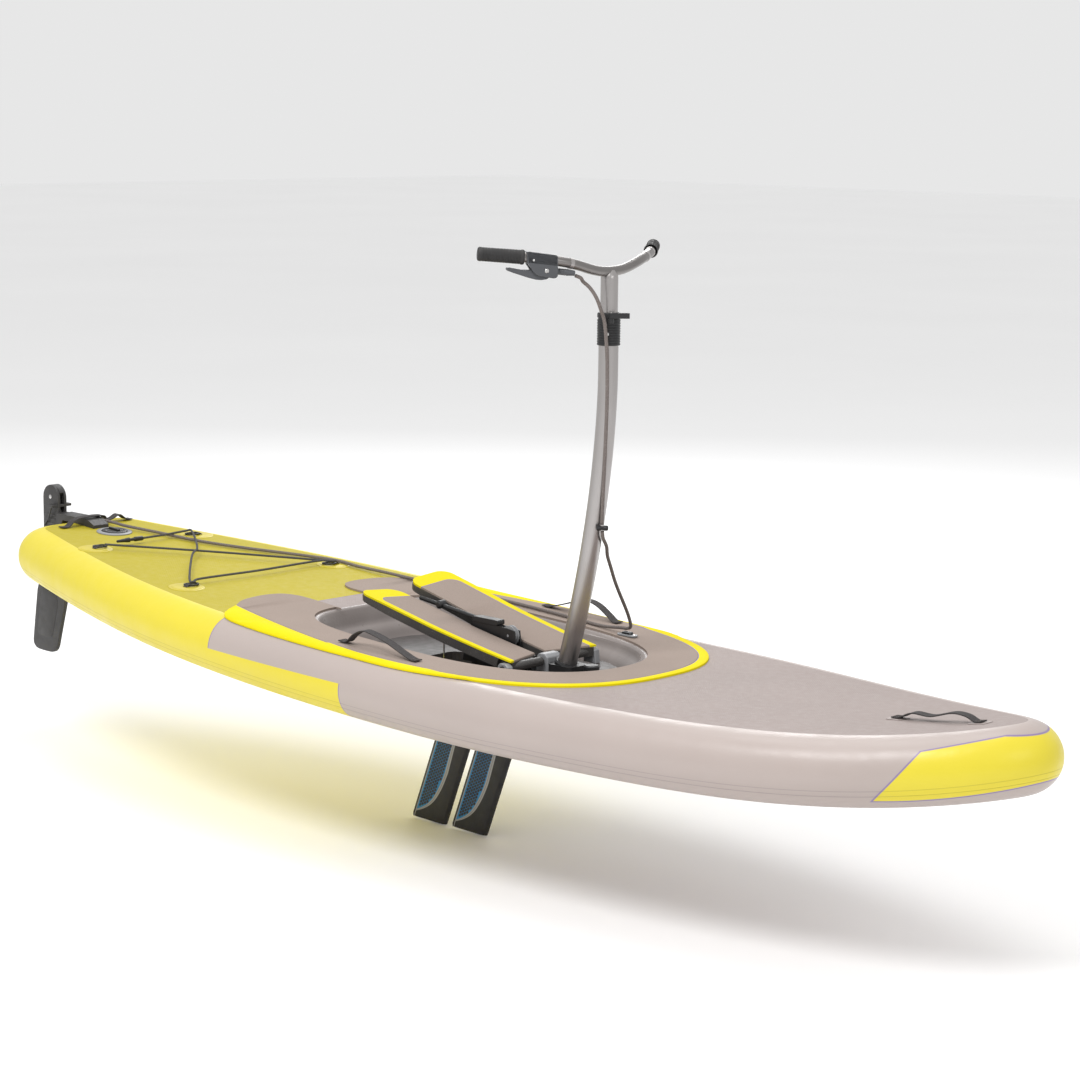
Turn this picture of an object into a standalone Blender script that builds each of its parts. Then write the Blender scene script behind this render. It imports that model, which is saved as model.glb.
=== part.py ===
"""Inflatable stand-up board driven by two pedals that swing a pair of fins, steered from a handlebar.

Metres, +Z up, +X towards the bow, +Y to port. Shapes are written in board coordinates, where X is
measured from mid-length, and the "board" empty moves them all so that the world's origin lies on
the flat of the hull's underside, just ahead of the mast.
"""

import math

import bmesh
import bpy
from mathutils import Matrix, Vector

# Driving dimensions
LENGTH = 3.35
WIDTH = 0.895
THICKNESS = 0.1525
ORIGIN_X = 0.50  # the world's origin, ahead of mid-length
GAP = 0.0004  # kept between pieces that touch
CLEAR = 0.0006  # kept between a piece and the curved deck under it

RAIL = THICKNESS / 2
NOSE_POWER = 0.573  # how blunt the plan outline is at the bow
BULGE = (0.549, -0.082, 0.337, -0.425)  # the outline's fullness along its length
TAIL_START = 0.96  # share of the half length where the stern's corner begins
TAIL_SQUARE = 5.0
NOSE_ROCKER = (0.74, 0.079, 2.96)  # where it starts, its rise at the tip, its power
TAIL_ROCKER = (0.45, 0.106, 1.449)

WELL_X, WELL_FORE, WELL_AFT, WELL_HALF = 0.05, 0.435, 0.45, 0.26
WELL_POWERS = (2.3, 4.0)
WELL_FLOOR = 0.085
SLOT_X = (-0.13, 0.225)  # the opening that the fins hang through
SLOT_HALF = 0.062
TRAY_TOP = 0.095
BLOCK_TOP = 0.110

PAD_T = 0.005
PAD_FORE, PAD_HALF, BORDER_FORE, BORDER_HALF = 0.600, 0.378, 0.625, 0.402
PAD_POWER = 2.5
LOBE_AFT = -0.61

HINGE = (0.2537, 0.138)  # the pedals' axis, X and Z
PEDAL_Y = (0.0165, 0.148)
PEDAL_X = (-0.264, 0.225, 0.272)  # aft end, and the slanted fore end's inner and outer corners
PEDAL_TILT = math.radians(1.1)  # the starboard pedal rests this much lower, the port one higher
PEDAL_BANK = 0.012  # how far the inner edge lies below the outer one
PEDAL_TOP = ((-0.264, 0.264), (-0.1635, 0.2425), (-0.0741, 0.2226), (-0.0037, 0.2067),
             (0.0829, 0.1897), (0.168, 0.174), (0.235, 0.1625), (0.2764, 0.156))
PEDAL_CORE = ((-0.264, 0.014), (-0.16, 0.020), (0.20, 0.022))  # thickness of the rigid plank

FIN_AXIS_Z = 0.045
FIN_RAKE = 0.387  # aft travel per metre of depth
FIN_X = {"fore": 0.184, "aft": 0.041}  # where each mast meets the fins' shaft
FIN_CHORD = 0.124
FIN_TOP, FIN_TIP = -0.058, -0.338

MAST_X = 0.4305  # of its straight upper part
MAST_BEND = (0.84, 0.2187, 1.75)  # below this height it sweeps aft, by this factor and power
MAST_FOOT_Z, MAST_TOP, STEM_LOW, STEM_TOP = 0.1225, 0.9745, 0.822, 1.060
MAST_R, MAST_BORE, STEM_R = 0.0231, 0.0212, 0.0203
CLAMP_Z = (0.903, 0.978)
CLAMP_SIDE = math.radians(44)  # the clamp and the steering line sit on the mast's starboard bow
BAR_Z = 1.072
BAR_R = 0.0116
BAR_PATH = ((0.0, 0.0, 0.0), (0.0, 0.035, 0.002), (0.0025, 0.065, 0.0075), (0.007, 0.10, 0.017),
            (0.0205, 0.14, 0.026), (0.049, 0.19, 0.0333), (0.0855, 0.24, 0.039),
            (0.1275, 0.292, 0.0432))  # sweep aft, distance out and rise
LINE_SPLIT = (0.4855, 0.4695)  # heights where the steering line's two halves meet the toggle
CABLE_FOOT = TRAY_TOP + 0.0008
GRIP_Y = (0.2135, 0.2925)
HOUSING_Y = (0.146, 0.2175)
HOUSING_AT = 0.179  # where on the bar the housing's straight frame is set

PINTLE_X = -1.702
RUDDER_X = (-1.760, -1.686)
RUDDER_TOP = 0.348
BLADE_PIVOT = (-1.727, 0.135)

PATCH_AFT, PATCH_FORE = (-1.297, 0.176), (-0.804, 0.254)
RING_IN = 0.016  # how far inboard of its patch each ring lies
VALVE_X = -1.444
# Each side handle's distance from the centreline, and the height of the loose strap along it
HANDLE_RISES = {
    "right": (0.335, ((-0.113, 0.0), (-0.088, 0.001), (-0.063, 0.022), (-0.033, 0.037), (-0.003, 0.037),
                      (0.052, 0.026), (0.102, 0.010), (0.137, 0.0), (0.154, 0.0))),
    "left": (0.352, ((-0.100, 0.0), (-0.075, 0.0005), (-0.030, 0.014), (0.020, 0.031), (0.055, 0.038),
                     (0.090, 0.031), (0.125, 0.012), (0.145, 0.0), (0.160, 0.0))),
}


# ---- Materials -------------------------------------------------------------------------------
FINISHES = {
    "hull_pvc": ((0.62, 0.58, 0.56), 0.45, 0.0),
    "eva_foam": ((0.42, 0.37, 0.34), 0.85, 0.0),
    "yellow_foam": ((0.80, 0.72, 0.02), 0.70, 0.0),
    "grey_plastic": ((0.42, 0.42, 0.43), 0.50, 0.0),
    "black_plastic": ((0.02, 0.02, 0.02), 0.45, 0.0),
    "dark_plastic": ((0.07, 0.07, 0.07), 0.50, 0.0),
    "webbing": ((0.10, 0.10, 0.10), 0.80, 0.0),
    "cord": ((0.06, 0.06, 0.07), 0.75, 0.0),
    "sheath": ((0.10, 0.085, 0.08), 0.80, 0.0),
    "rubber": ((0.03, 0.03, 0.03), 0.70, 0.0),
    "aluminium": ((0.62, 0.62, 0.62), 0.30, 1.0),
    "steel": ((0.60, 0.60, 0.60), 0.25, 1.0),
    "blue_fin": ((0.02, 0.12, 0.28), 0.55, 0.0),
    "board_core": ((0.04, 0.04, 0.04), 0.60, 0.0),
}


def material(key):
    found = bpy.data.materials.get(key)
    if found:
        return found
    colour, roughness, metallic = FINISHES[key]
    made = bpy.data.materials.new(key)
    made.use_nodes = True
    shader = made.node_tree.nodes["Principled BSDF"]
    shader.inputs["Base Color"].default_value = (*colour, 1.0)
    shader.inputs["Roughness"].default_value = roughness
    shader.inputs["Metallic"].default_value = metallic
    made.diffuse_color = (*colour, 1.0)
    return made


# ---- Curves of the hull ----------------------------------------------------------------------
def rocker(x):
    start, rise, power = NOSE_ROCKER
    nose = rise * (max(0.0, x - start) / (LENGTH / 2 - start)) ** power
    start, rise, power = TAIL_ROCKER
    return nose + rise * (max(0.0, start - x) / (LENGTH / 2 + start)) ** power


def deck(x):
    return rocker(x) + THICKNESS


def top_skin(x, y):
    """Height of the hull's upper surface, which falls away over the rail."""
    line = sorted(rail_line())
    over = abs(y) - along(line, x)
    if over <= 0:
        return deck(x)
    return rocker(x) + RAIL + math.sqrt(max(0.0, RAIL ** 2 - over ** 2)) + 0.0018


def fullness(u):
    bulge = sum(term * u ** (i + 1) for i, term in enumerate(BULGE))
    return max(0.0, 1 - u) ** NOSE_POWER * math.exp(bulge)


WIDEST = max(fullness(i / 100) for i in range(-100, 101))


def rail_line():
    """(x, half width) of the rail's centreline, from the bow's tip round to the middle of the stern."""
    reach = LENGTH / 2 - RAIL
    scale = (WIDTH / 2 - RAIL) / WIDEST
    points = []
    for i in range(27):
        u = 1 - (1 + TAIL_START) * (1 - math.cos(i / 26 * math.pi / 2))
        points.append((u * reach, fullness(u) * scale))
    for i in range(5, -1, -1):
        turn = i / 6 * math.pi / 2
        u = -TAIL_START - (1 - TAIL_START) * math.cos(turn) ** (2 / TAIL_SQUARE)
        points.append((u * reach, fullness(u) * scale * math.sin(turn) ** (2 / TAIL_SQUARE)))
    return points


def well_outline(grow=0.0, count=48):
    """The foot well's plan outline, offset outwards by grow."""
    points = []
    for i in range(count):
        turn = 2 * math.pi * i / count
        c, s = math.cos(turn), math.sin(turn)
        reach, power = (WELL_FORE, WELL_POWERS[0]) if c >= 0 else (WELL_AFT, WELL_POWERS[1])
        x = math.copysign(abs(c) ** (2 / power), c) * (reach + grow)
        y = math.copysign(abs(s) ** (2 / power), s) * (WELL_HALF + grow)
        points.append((WELL_X + x, y))
    return points


def smooth_path(points, per_span=4):
    """A Catmull-Rom curve through the points."""
    pts = [Vector(p) for p in points]
    pts = [2 * pts[0] - pts[1], *pts, 2 * pts[-1] - pts[-2]]
    out = []
    for a, b, c, d in zip(pts, pts[1:], pts[2:], pts[3:]):
        for i in range(per_span):
            t = i / per_span
            out.append(0.5 * (2 * b + (c - a) * t + (2 * a - 5 * b + 4 * c - d) * t * t
                              + (3 * b - a - 3 * c + d) * t ** 3))
    return [*out, pts[-2]]


def along(table, x):
    """Straight-line value of a table of (x, value) rows that rise in x."""
    if x <= table[0][0]:
        return table[0][1]
    for (x0, v0), (x1, v1) in zip(table, table[1:]):
        if x <= x1:
            return v0 + (v1 - v0) * (x - x0) / (x1 - x0)
    return table[-1][1]


# ---- Building and placing --------------------------------------------------------------------
for old in list(bpy.data.objects):
    bpy.data.objects.remove(old, do_unlink=True)

board = bpy.data.objects.new("board", None)
board.location = (-ORIGIN_X, 0, 0)
bpy.context.scene.collection.objects.link(board)


def pivot(name, at, parent=board):
    """An empty on a joint's axis, which the moving pieces hang from."""
    empty = bpy.data.objects.new(name, None)
    empty.location = at
    empty.parent = parent
    bpy.context.scene.collection.objects.link(empty)
    return empty


def finish(name, bm, key, parent=board, sharp=35.0):
    """Turns a bmesh in board coordinates into an object that hangs from parent."""
    bmesh.ops.recalc_face_normals(bm, faces=bm.faces)
    if parent is not board:
        bmesh.ops.translate(bm, verts=bm.verts, vec=-Vector(parent.location))
    mesh = bpy.data.meshes.new(name)
    bm.to_mesh(mesh)
    bm.free()
    mesh.shade_smooth()
    mesh.set_sharp_from_angle(angle=math.radians(sharp))
    obj = bpy.data.objects.new(name, mesh)
    obj.parent = parent
    bpy.context.scene.collection.objects.link(obj)
    if key:
        mesh.materials.append(material(key))
    else:
        obj.hide_render = True
        obj.display_type = "WIRE"
    return obj


def boolean(obj, other, operation):
    modifier = obj.modifiers.new(operation.lower(), "BOOLEAN")
    modifier.operation = operation
    modifier.solver = "EXACT"
    modifier.object = other
    return obj


def cut(obj, *cutters):
    for cutter in cutters:
        boolean(obj, cutter, "DIFFERENCE")
    return obj


def join(obj, *others):
    for other in others:
        boolean(obj, other, "UNION")
    return obj


def rings_mesh(rings, hollow=False):
    """Skin over a run of rings with equal point counts; hollow closes the last ring to the first."""
    bm = bmesh.new()
    rows = [[bm.verts.new(p) for p in ring] for ring in rings]
    count = len(rows[0])
    pairs = list(zip(rows, rows[1:])) + ([(rows[-1], rows[0])] if hollow else [])
    for a, b in pairs:
        for i in range(count):
            j = (i + 1) % count
            bm.faces.new((a[i], a[j], b[j], b[i]))
    if not hollow:
        bm.faces.new(rows[0])
        bm.faces.new(list(reversed(rows[-1])))
    return bm


def prism_mesh(outline, low, high, axis="Z", bevel=0.0):
    """An outline extruded from low to high. Its two coordinates are the other axes in X, Y, Z order."""
    def point(p, h):
        return {"Z": (p[0], p[1], h), "Y": (p[0], h, p[1]), "X": (h, p[0], p[1])}[axis]

    bm = rings_mesh([[point(p, low) for p in outline], [point(p, high) for p in outline]])
    if bevel:
        bmesh.ops.bevel(bm, geom=list(bm.edges), offset=bevel, segments=1, affect="EDGES",
                        clamp_overlap=True)
    return bm


def prism(name, outline, low, high, key, axis="Z", bevel=0.0, parent=board):
    return finish(name, prism_mesh(outline, low, high, axis, bevel), key, parent)


def box(name, x, y, z, key, bevel=0.0, parent=board):
    return prism(name, [(x[0], y[0]), (x[1], y[0]), (x[1], y[1]), (x[0], y[1])], *z, key, bevel=bevel,
                 parent=parent)


def rounded(x, y, radius, steps=4):
    """A rounded rectangle's outline."""
    points = []
    for cx, cy, start in ((x[1], y[1], 0), (x[0], y[1], 1), (x[0], y[0], 2), (x[1], y[0], 3)):
        sx = -1 if start in (0, 3) else 1
        sy = -1 if start in (0, 1) else 1
        for i in range(steps + 1):
            turn = (start + i / steps) * math.pi / 2
            points.append((cx + radius * (sx + math.cos(turn)), cy + radius * (sy + math.sin(turn))))
    return points


def turned_mesh(profile, at, direction, count=20, hollow=False):
    """Rings of (distance, radius) about a line from at along direction."""
    axis = Vector(direction).normalized()
    side = axis.orthogonal().normalized()
    up = axis.cross(side)
    rings = []
    for distance, radius in profile:
        centre = Vector(at) + axis * distance
        rings.append([centre + radius * (side * math.cos(t) + up * math.sin(t))
                      for t in (2 * math.pi * i / count for i in range(count))])
    return rings_mesh(rings, hollow)


def turned(name, profile, at, direction, key, count=20, hollow=False, parent=board):
    return finish(name, turned_mesh(profile, at, direction, count, hollow), key, parent)


def sweep_mesh(path, section, up=(0, 0, 1)):
    """A section of (side, up) points carried along a path, square to it. section may be a function."""
    rings = []
    last = len(path) - 1
    for i, point in enumerate(path):
        ahead = (Vector(path[min(i + 1, last)]) - Vector(path[max(i - 1, 0)])).normalized()
        side = Vector(up).cross(ahead).normalized()
        top = ahead.cross(side)
        shape = section(i / last) if callable(section) else section
        rings.append([Vector(point) + side * a + top * b for a, b in shape])
    return rings_mesh(rings)


def sweep(name, path, section, key, up=(0, 0, 1), parent=board, sharp=35.0):
    return finish(name, sweep_mesh(path, section, up), key, parent, sharp)


def strap_section(width, thickness):
    w, t = width / 2, thickness / 2
    return [(-w, -t), (w, -t), (w, t), (-w, t)]


def slice_mesh(bm, at, normal):
    geometry = [*bm.verts, *bm.edges, *bm.faces]
    bmesh.ops.bisect_plane(bm, geom=geometry, plane_co=at, plane_no=normal, dist=1e-6)


def draped(name, outline, low, high, key, parent=board, step=0.06, lanes=()):
    """A sheet with this plan outline whose underside and top follow functions of x and y."""
    bm = prism_mesh(outline, 0.0, 1.0)
    xs = [p[0] for p in outline]
    x = math.ceil(min(xs) / step) * step
    while x < max(xs):
        if min(abs(x - other) for other in xs) > 0.001:
            slice_mesh(bm, (x, 0, 0), (1, 0, 0))
        x += step
    for y in lanes:
        slice_mesh(bm, (0, y, 0), (0, 1, 0))
    for vert in bm.verts:
        vert.co.z = (high if vert.co.z > 0.5 else low)(vert.co.x, vert.co.y)
    return finish(name, bm, key, parent)


def cord(name, points, radius, key, resolution=2, per_span=3):
    """A cord as a curve object with a round bevel, on a smooth line through the points."""
    curve = bpy.data.curves.new(name, "CURVE")
    curve.dimensions = "3D"
    curve.bevel_depth = radius
    curve.bevel_resolution = resolution
    curve.use_fill_caps = True
    line = smooth_path(points, per_span)
    spline = curve.splines.new("POLY")
    spline.points.add(len(line) - 1)
    for place, point in zip(spline.points, line):
        place.co = (*point, 1.0)
    curve.materials.append(material(key))
    obj = bpy.data.objects.new(name, curve)
    obj.parent = board
    bpy.context.scene.collection.objects.link(obj)
    return obj


# ---- Hull, its patches and the deck fittings --------------------------------------------------
def build_hull():
    line = rail_line()
    loop = [(x, -w) for x, w in line] + [(x, w) for x, w in reversed(line[1:-1])]
    bm = bmesh.new()
    rail_steps = 8
    grid = []
    for i, (x, y) in enumerate(loop):
        before, after = loop[i - 1], loop[(i + 1) % len(loop)]
        along_rail = Vector((after[0] - before[0], after[1] - before[1]))
        out = Vector((along_rail.y, -along_rail.x)).normalized()
        if out.dot(Vector((x, y * 4))) < 0:
            out = -out
        column = []
        for j in range(rail_steps + 1):
            turn = math.pi / 2 - math.pi * j / rail_steps
            reach = RAIL * math.cos(turn)
            column.append(bm.verts.new((x + out.x * reach, y + out.y * reach,
                                        rocker(x) + RAIL + RAIL * math.sin(turn))))
        grid.append(column)
    count = len(grid)
    for i in range(count):
        a, b = grid[i], grid[(i + 1) % count]
        for j in range(rail_steps):
            bm.faces.new((a[j], b[j], b[j + 1], a[j + 1]))
    half = len(line)
    for level in (0, rail_steps):
        for i in range(half - 1):
            corners = [grid[i][level], grid[i + 1][level], grid[-(i + 1) % count][level],
                       grid[-i % count][level]]
            bm.faces.new(list(dict.fromkeys(corners)))
    hull = finish("hull", bm, "hull_pvc")

    walls = ((0.30, 0.03), (0.17, 0.0), (0.15, -0.009), (0.125, -0.024), (0.10, -0.040),
             (WELL_FLOOR, -0.050))
    rings = [[(x, y, z) for x, y in well_outline(grow)] for z, grow in walls]
    well = finish("well_cutter", rings_mesh(rings), None)
    slot = prism("slot_cutter", rounded(SLOT_X, (-SLOT_HALF, SLOT_HALF), 0.03), -0.1, 0.12, None)
    seat = turned("valve_cutter", ((-0.022, 0.040), (0.05, 0.040)), (VALVE_X, 0, deck(VALVE_X)),
                  deck_normal(VALVE_X), None, 22)
    cut(hull, well, slot, seat)
    for x, y in (PATCH_AFT, PATCH_FORE):
        for side in (-1, 1):
            patch = turned("patch", ((-0.004, 0.047), (0.0016, 0.047), (0.0026, 0.045)),
                           (x, side * y, deck(x)), deck_normal(x), None, 18)
            join(hull, patch)
    return hull


def deck_normal(x):
    slope = (deck(x + 0.01) - deck(x - 0.01)) / 0.02
    return (-slope, 0, 1)


def pad_edge(x):
    """Half width of the pad's outer edge aft of mid-length, where the yellow border widens."""
    return PAD_HALF - 0.090 * (max(0.0, -x) / 0.562) ** 1.5


def half_ellipse(fore, half, count=22):
    """The fore part of a superellipse, from its port side round the nose to starboard."""
    points = []
    for i in range(count + 1):
        turn = math.pi / 2 - math.pi * i / count
        c, s = math.cos(turn), math.sin(turn)
        points.append((fore * abs(c) ** (2 / PAD_POWER),
                       math.copysign(half * abs(s) ** (2 / PAD_POWER), s)))
    return points


def build_deck_gear():
    def under(x, y):
        return top_skin(x, y) + CLEAR

    def over(x, y):
        return top_skin(x, y) + CLEAR + PAD_T

    aft_xs = [-0.562 * i / 6 for i in range(1, 7)]
    lobe = [(-0.603, 0.215), (LOBE_AFT, 0.16), (-0.600, 0.115), (-0.570, 0.092), (-0.52, 0.085),
            (-0.385, 0.092)]
    well = sorted((p for p in well_outline(0.006) if p[1] >= 0.0 and p[0] > -0.385),
                  key=lambda p: -p[0])
    well_edge = [p for p in well if p[1] > 0.02 or p[0] > 0]
    fore = half_ellipse(PAD_FORE, PAD_HALF)
    port_aft = [(x, pad_edge(x)) for x in aft_xs]
    inner = [(-0.385, 0.092)] + [p for p in reversed(well_edge) if p[1] > 0.092]
    nose_inner = [p for p in reversed(well_edge) if p[1] <= 0.092 and p[0] > 0]
    port = [*reversed(port_aft), *fore[:len(fore) // 2 + 1]]
    port_inner = [*lobe[:-1], *inner, *nose_inner]
    outline = [*port, *[(x, -y) for x, y in reversed(port[:-1])]]
    inside = [(x, -y) for x, y in port_inner] + [p for p in reversed(port_inner) if p[1] > 1e-6]
    draped("traction_pad", [*outline, *inside], under, over, "eva_foam", lanes=(-0.362, 0.362))

    rim = half_ellipse(BORDER_FORE, BORDER_HALF)
    outer_aft = [(-0.10, 0.404), (-0.20, 0.4035), (-0.30, 0.401), (-0.40, 0.3955), (-0.47, 0.388),
                 (-0.505, 0.374), (-0.537, 0.335)]
    edge = [(x, y + GAP * 2) for x, y in port_aft]
    edge[-1] = (edge[-1][0] - 0.001, edge[-1][1])
    inner_fore = half_ellipse(PAD_FORE + GAP * 2, PAD_HALF + GAP * 2)
    outer_port = [*reversed(outer_aft), *rim]
    starboard = [(x, -y) for x, y in outer_aft]
    inner_loop = [(x, -y) for x, y in reversed(edge)] + list(reversed(inner_fore)) + edge
    draped("pad_border", [*outer_port, *starboard, *inner_loop], under, over,
           "yellow_foam", lanes=[side * y for side in (-1, 1) for y in (0.352, 0.370, 0.387)])

    for side, name in ((-1, "right"), (1, "left")):
        feet = deck(0.0) + PAD_T + CLEAR + 0.0040
        y, rises = HANDLE_RISES[name]
        path = smooth_path([(x, side * y, feet + deck(x) - deck(0.0) + h) for x, h in rises], 3)
        sweep("side_handle_" + name, path, strap_section(0.024, 0.003), "webbing")
    rises = ((1.272, 0.0), (1.290, 0.0), (1.325, 0.012), (1.372, 0.008), (1.425, 0.017), (1.460, 0.012),
             (1.484, 0.0), (1.500, 0.0))
    path = smooth_path([(x, 0.0, deck(x) + 0.0042 + h) for x, h in rises], 3)
    sweep("bow_handle", path, strap_section(0.024, 0.003), "webbing")
    x = -1.555
    rises = ((-0.102, 0.0), (-0.080, 0.0), (-0.060, 0.015), (-0.036, 0.0205), (0.036, 0.0205),
             (0.052, 0.007), (0.072, 0.008), (0.095, 0.017), (0.115, 0.005), (0.128, 0.0), (0.140, 0.0))
    path = smooth_path([(x, y, deck(x) + 0.0038 + h) for y, h in rises], 3)
    sweep("stern_handle", path, strap_section(0.024, 0.003), "webbing")

    for (x, y), end in ((PATCH_AFT, "aft"), (PATCH_FORE, "fore")):
        for side, name in ((-1, "right"), (1, "left")):
            build_d_ring(f"d_ring_{end}_{name}", x, side * (y - RING_IN))

    def on_deck(x, y, h):
        return (x, y, deck(x) + h)

    low, high = 0.0150, 0.0225
    (ax, ay), (fx, fy) = [(x, y - RING_IN) for x, y in (PATCH_AFT, PATCH_FORE)]
    route = [on_deck(ax + 0.022, -ay, low), on_deck(-1.06, 0.028, low), on_deck(fx - 0.004, fy - 0.016, low),
             on_deck(fx + 0.010, fy - 0.002, low), on_deck(fx - 0.008, fy - 0.040, low),
             on_deck(fx - 0.002, 0.0, low), on_deck(fx - 0.008, 0.040 - fy, low),
             on_deck(fx + 0.010, 0.002 - fy, low), on_deck(fx - 0.020, 0.010 - fy, low),
             on_deck(-1.02, -0.062, high), on_deck(-1.09, 0.012, high), on_deck(ax + 0.006, ay - 0.006, low),
             on_deck(ax - 0.004, ay - 0.022, low), on_deck(ax + 0.006, 0.06, low),
             on_deck(ax + 0.010, -0.02, low)]
    cord("bungee_cord", route, 0.0030, "cord")
    lock = turned_mesh(((0.0, 0.0045), (0.002, 0.0065), (0.028, 0.0065), (0.030, 0.0045),
                        (0.044, 0.0040), (0.046, 0.0070), (0.058, 0.0060), (0.088, 0.0034)),
                       on_deck(ax + 0.0100, -0.0215, low), (-0.010, -1, 0), 14)
    finish("cord_lock", lock, "black_plastic")

    face = Vector((VALVE_X, 0, deck(VALVE_X)))
    normal = deck_normal(VALVE_X)
    turned("valve_body", ((-0.0212, 0.0395), (CLEAR, 0.0395), (CLEAR, 0.0500), (0.0030, 0.0490),
                          (0.0045, 0.0450), (0.0045, 0.0372), (-0.0120, 0.0360), (-0.0120, 0.0120),
                          (-0.0212, 0.0120)), face, normal, "grey_plastic", 22, hollow=True)
    cap_pivot = pivot("valve_cap_axis", face)
    cap = turned("valve_cap", ((-0.0110, 0.0345), (0.0040, 0.0355), (0.0062, 0.0330), (0.0066, 0.0200)),
                 face, normal, "black_plastic", 22, parent=cap_pivot)
    grip = box("cap_grip", (-0.022, 0.022), (-0.004, 0.004), (0.004, 0.0125), None, bevel=0.0012)
    grip.parent = cap_pivot
    join(cap, grip)

    x, y = 0.268, 0.262
    base = deck(x - 0.03) + CLEAR + PAD_T + GAP
    saddle = prism("deck_saddle", rounded((x - 0.030, x + 0.030), (y - 0.011, y + 0.011), 0.010), base,
                   base + 0.004, "grey_plastic", bevel=0.0008)
    arch = prism("saddle_arch", rounded((x - 0.014, x + 0.014), (base + 0.002, base + 0.010), 0.0035),
                 y - 0.006, y + 0.006, None, axis="Y")
    join(saddle, arch)


def build_d_ring(name, x, y):
    """A D-shaped ring of 5 mm wire, lying on its patch."""
    wire, radius, count = 0.0026, 0.0165, 14
    centre = Vector((x, y, deck(x) + 0.0064))
    normal = Vector(deck_normal(x)).normalized()
    path = []
    for i in range(count):
        turn = math.pi * 2 * i / count
        flat = max(math.cos(turn), -0.72)
        path.append(centre + Vector((radius * flat, radius * 1.15 * math.sin(turn), 0)))
    rings = []
    for i, point in enumerate(path):
        ahead = (path[(i + 1) % count] - path[i - 1]).normalized()
        side = normal.cross(ahead).normalized()
        rings.append([point + wire * (side * math.cos(t) + normal * math.sin(t))
                      for t in (math.pi * 2 * k / 6 for k in range(6))])
    finish(name, rings_mesh(rings, hollow=True), "black_plastic")


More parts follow.
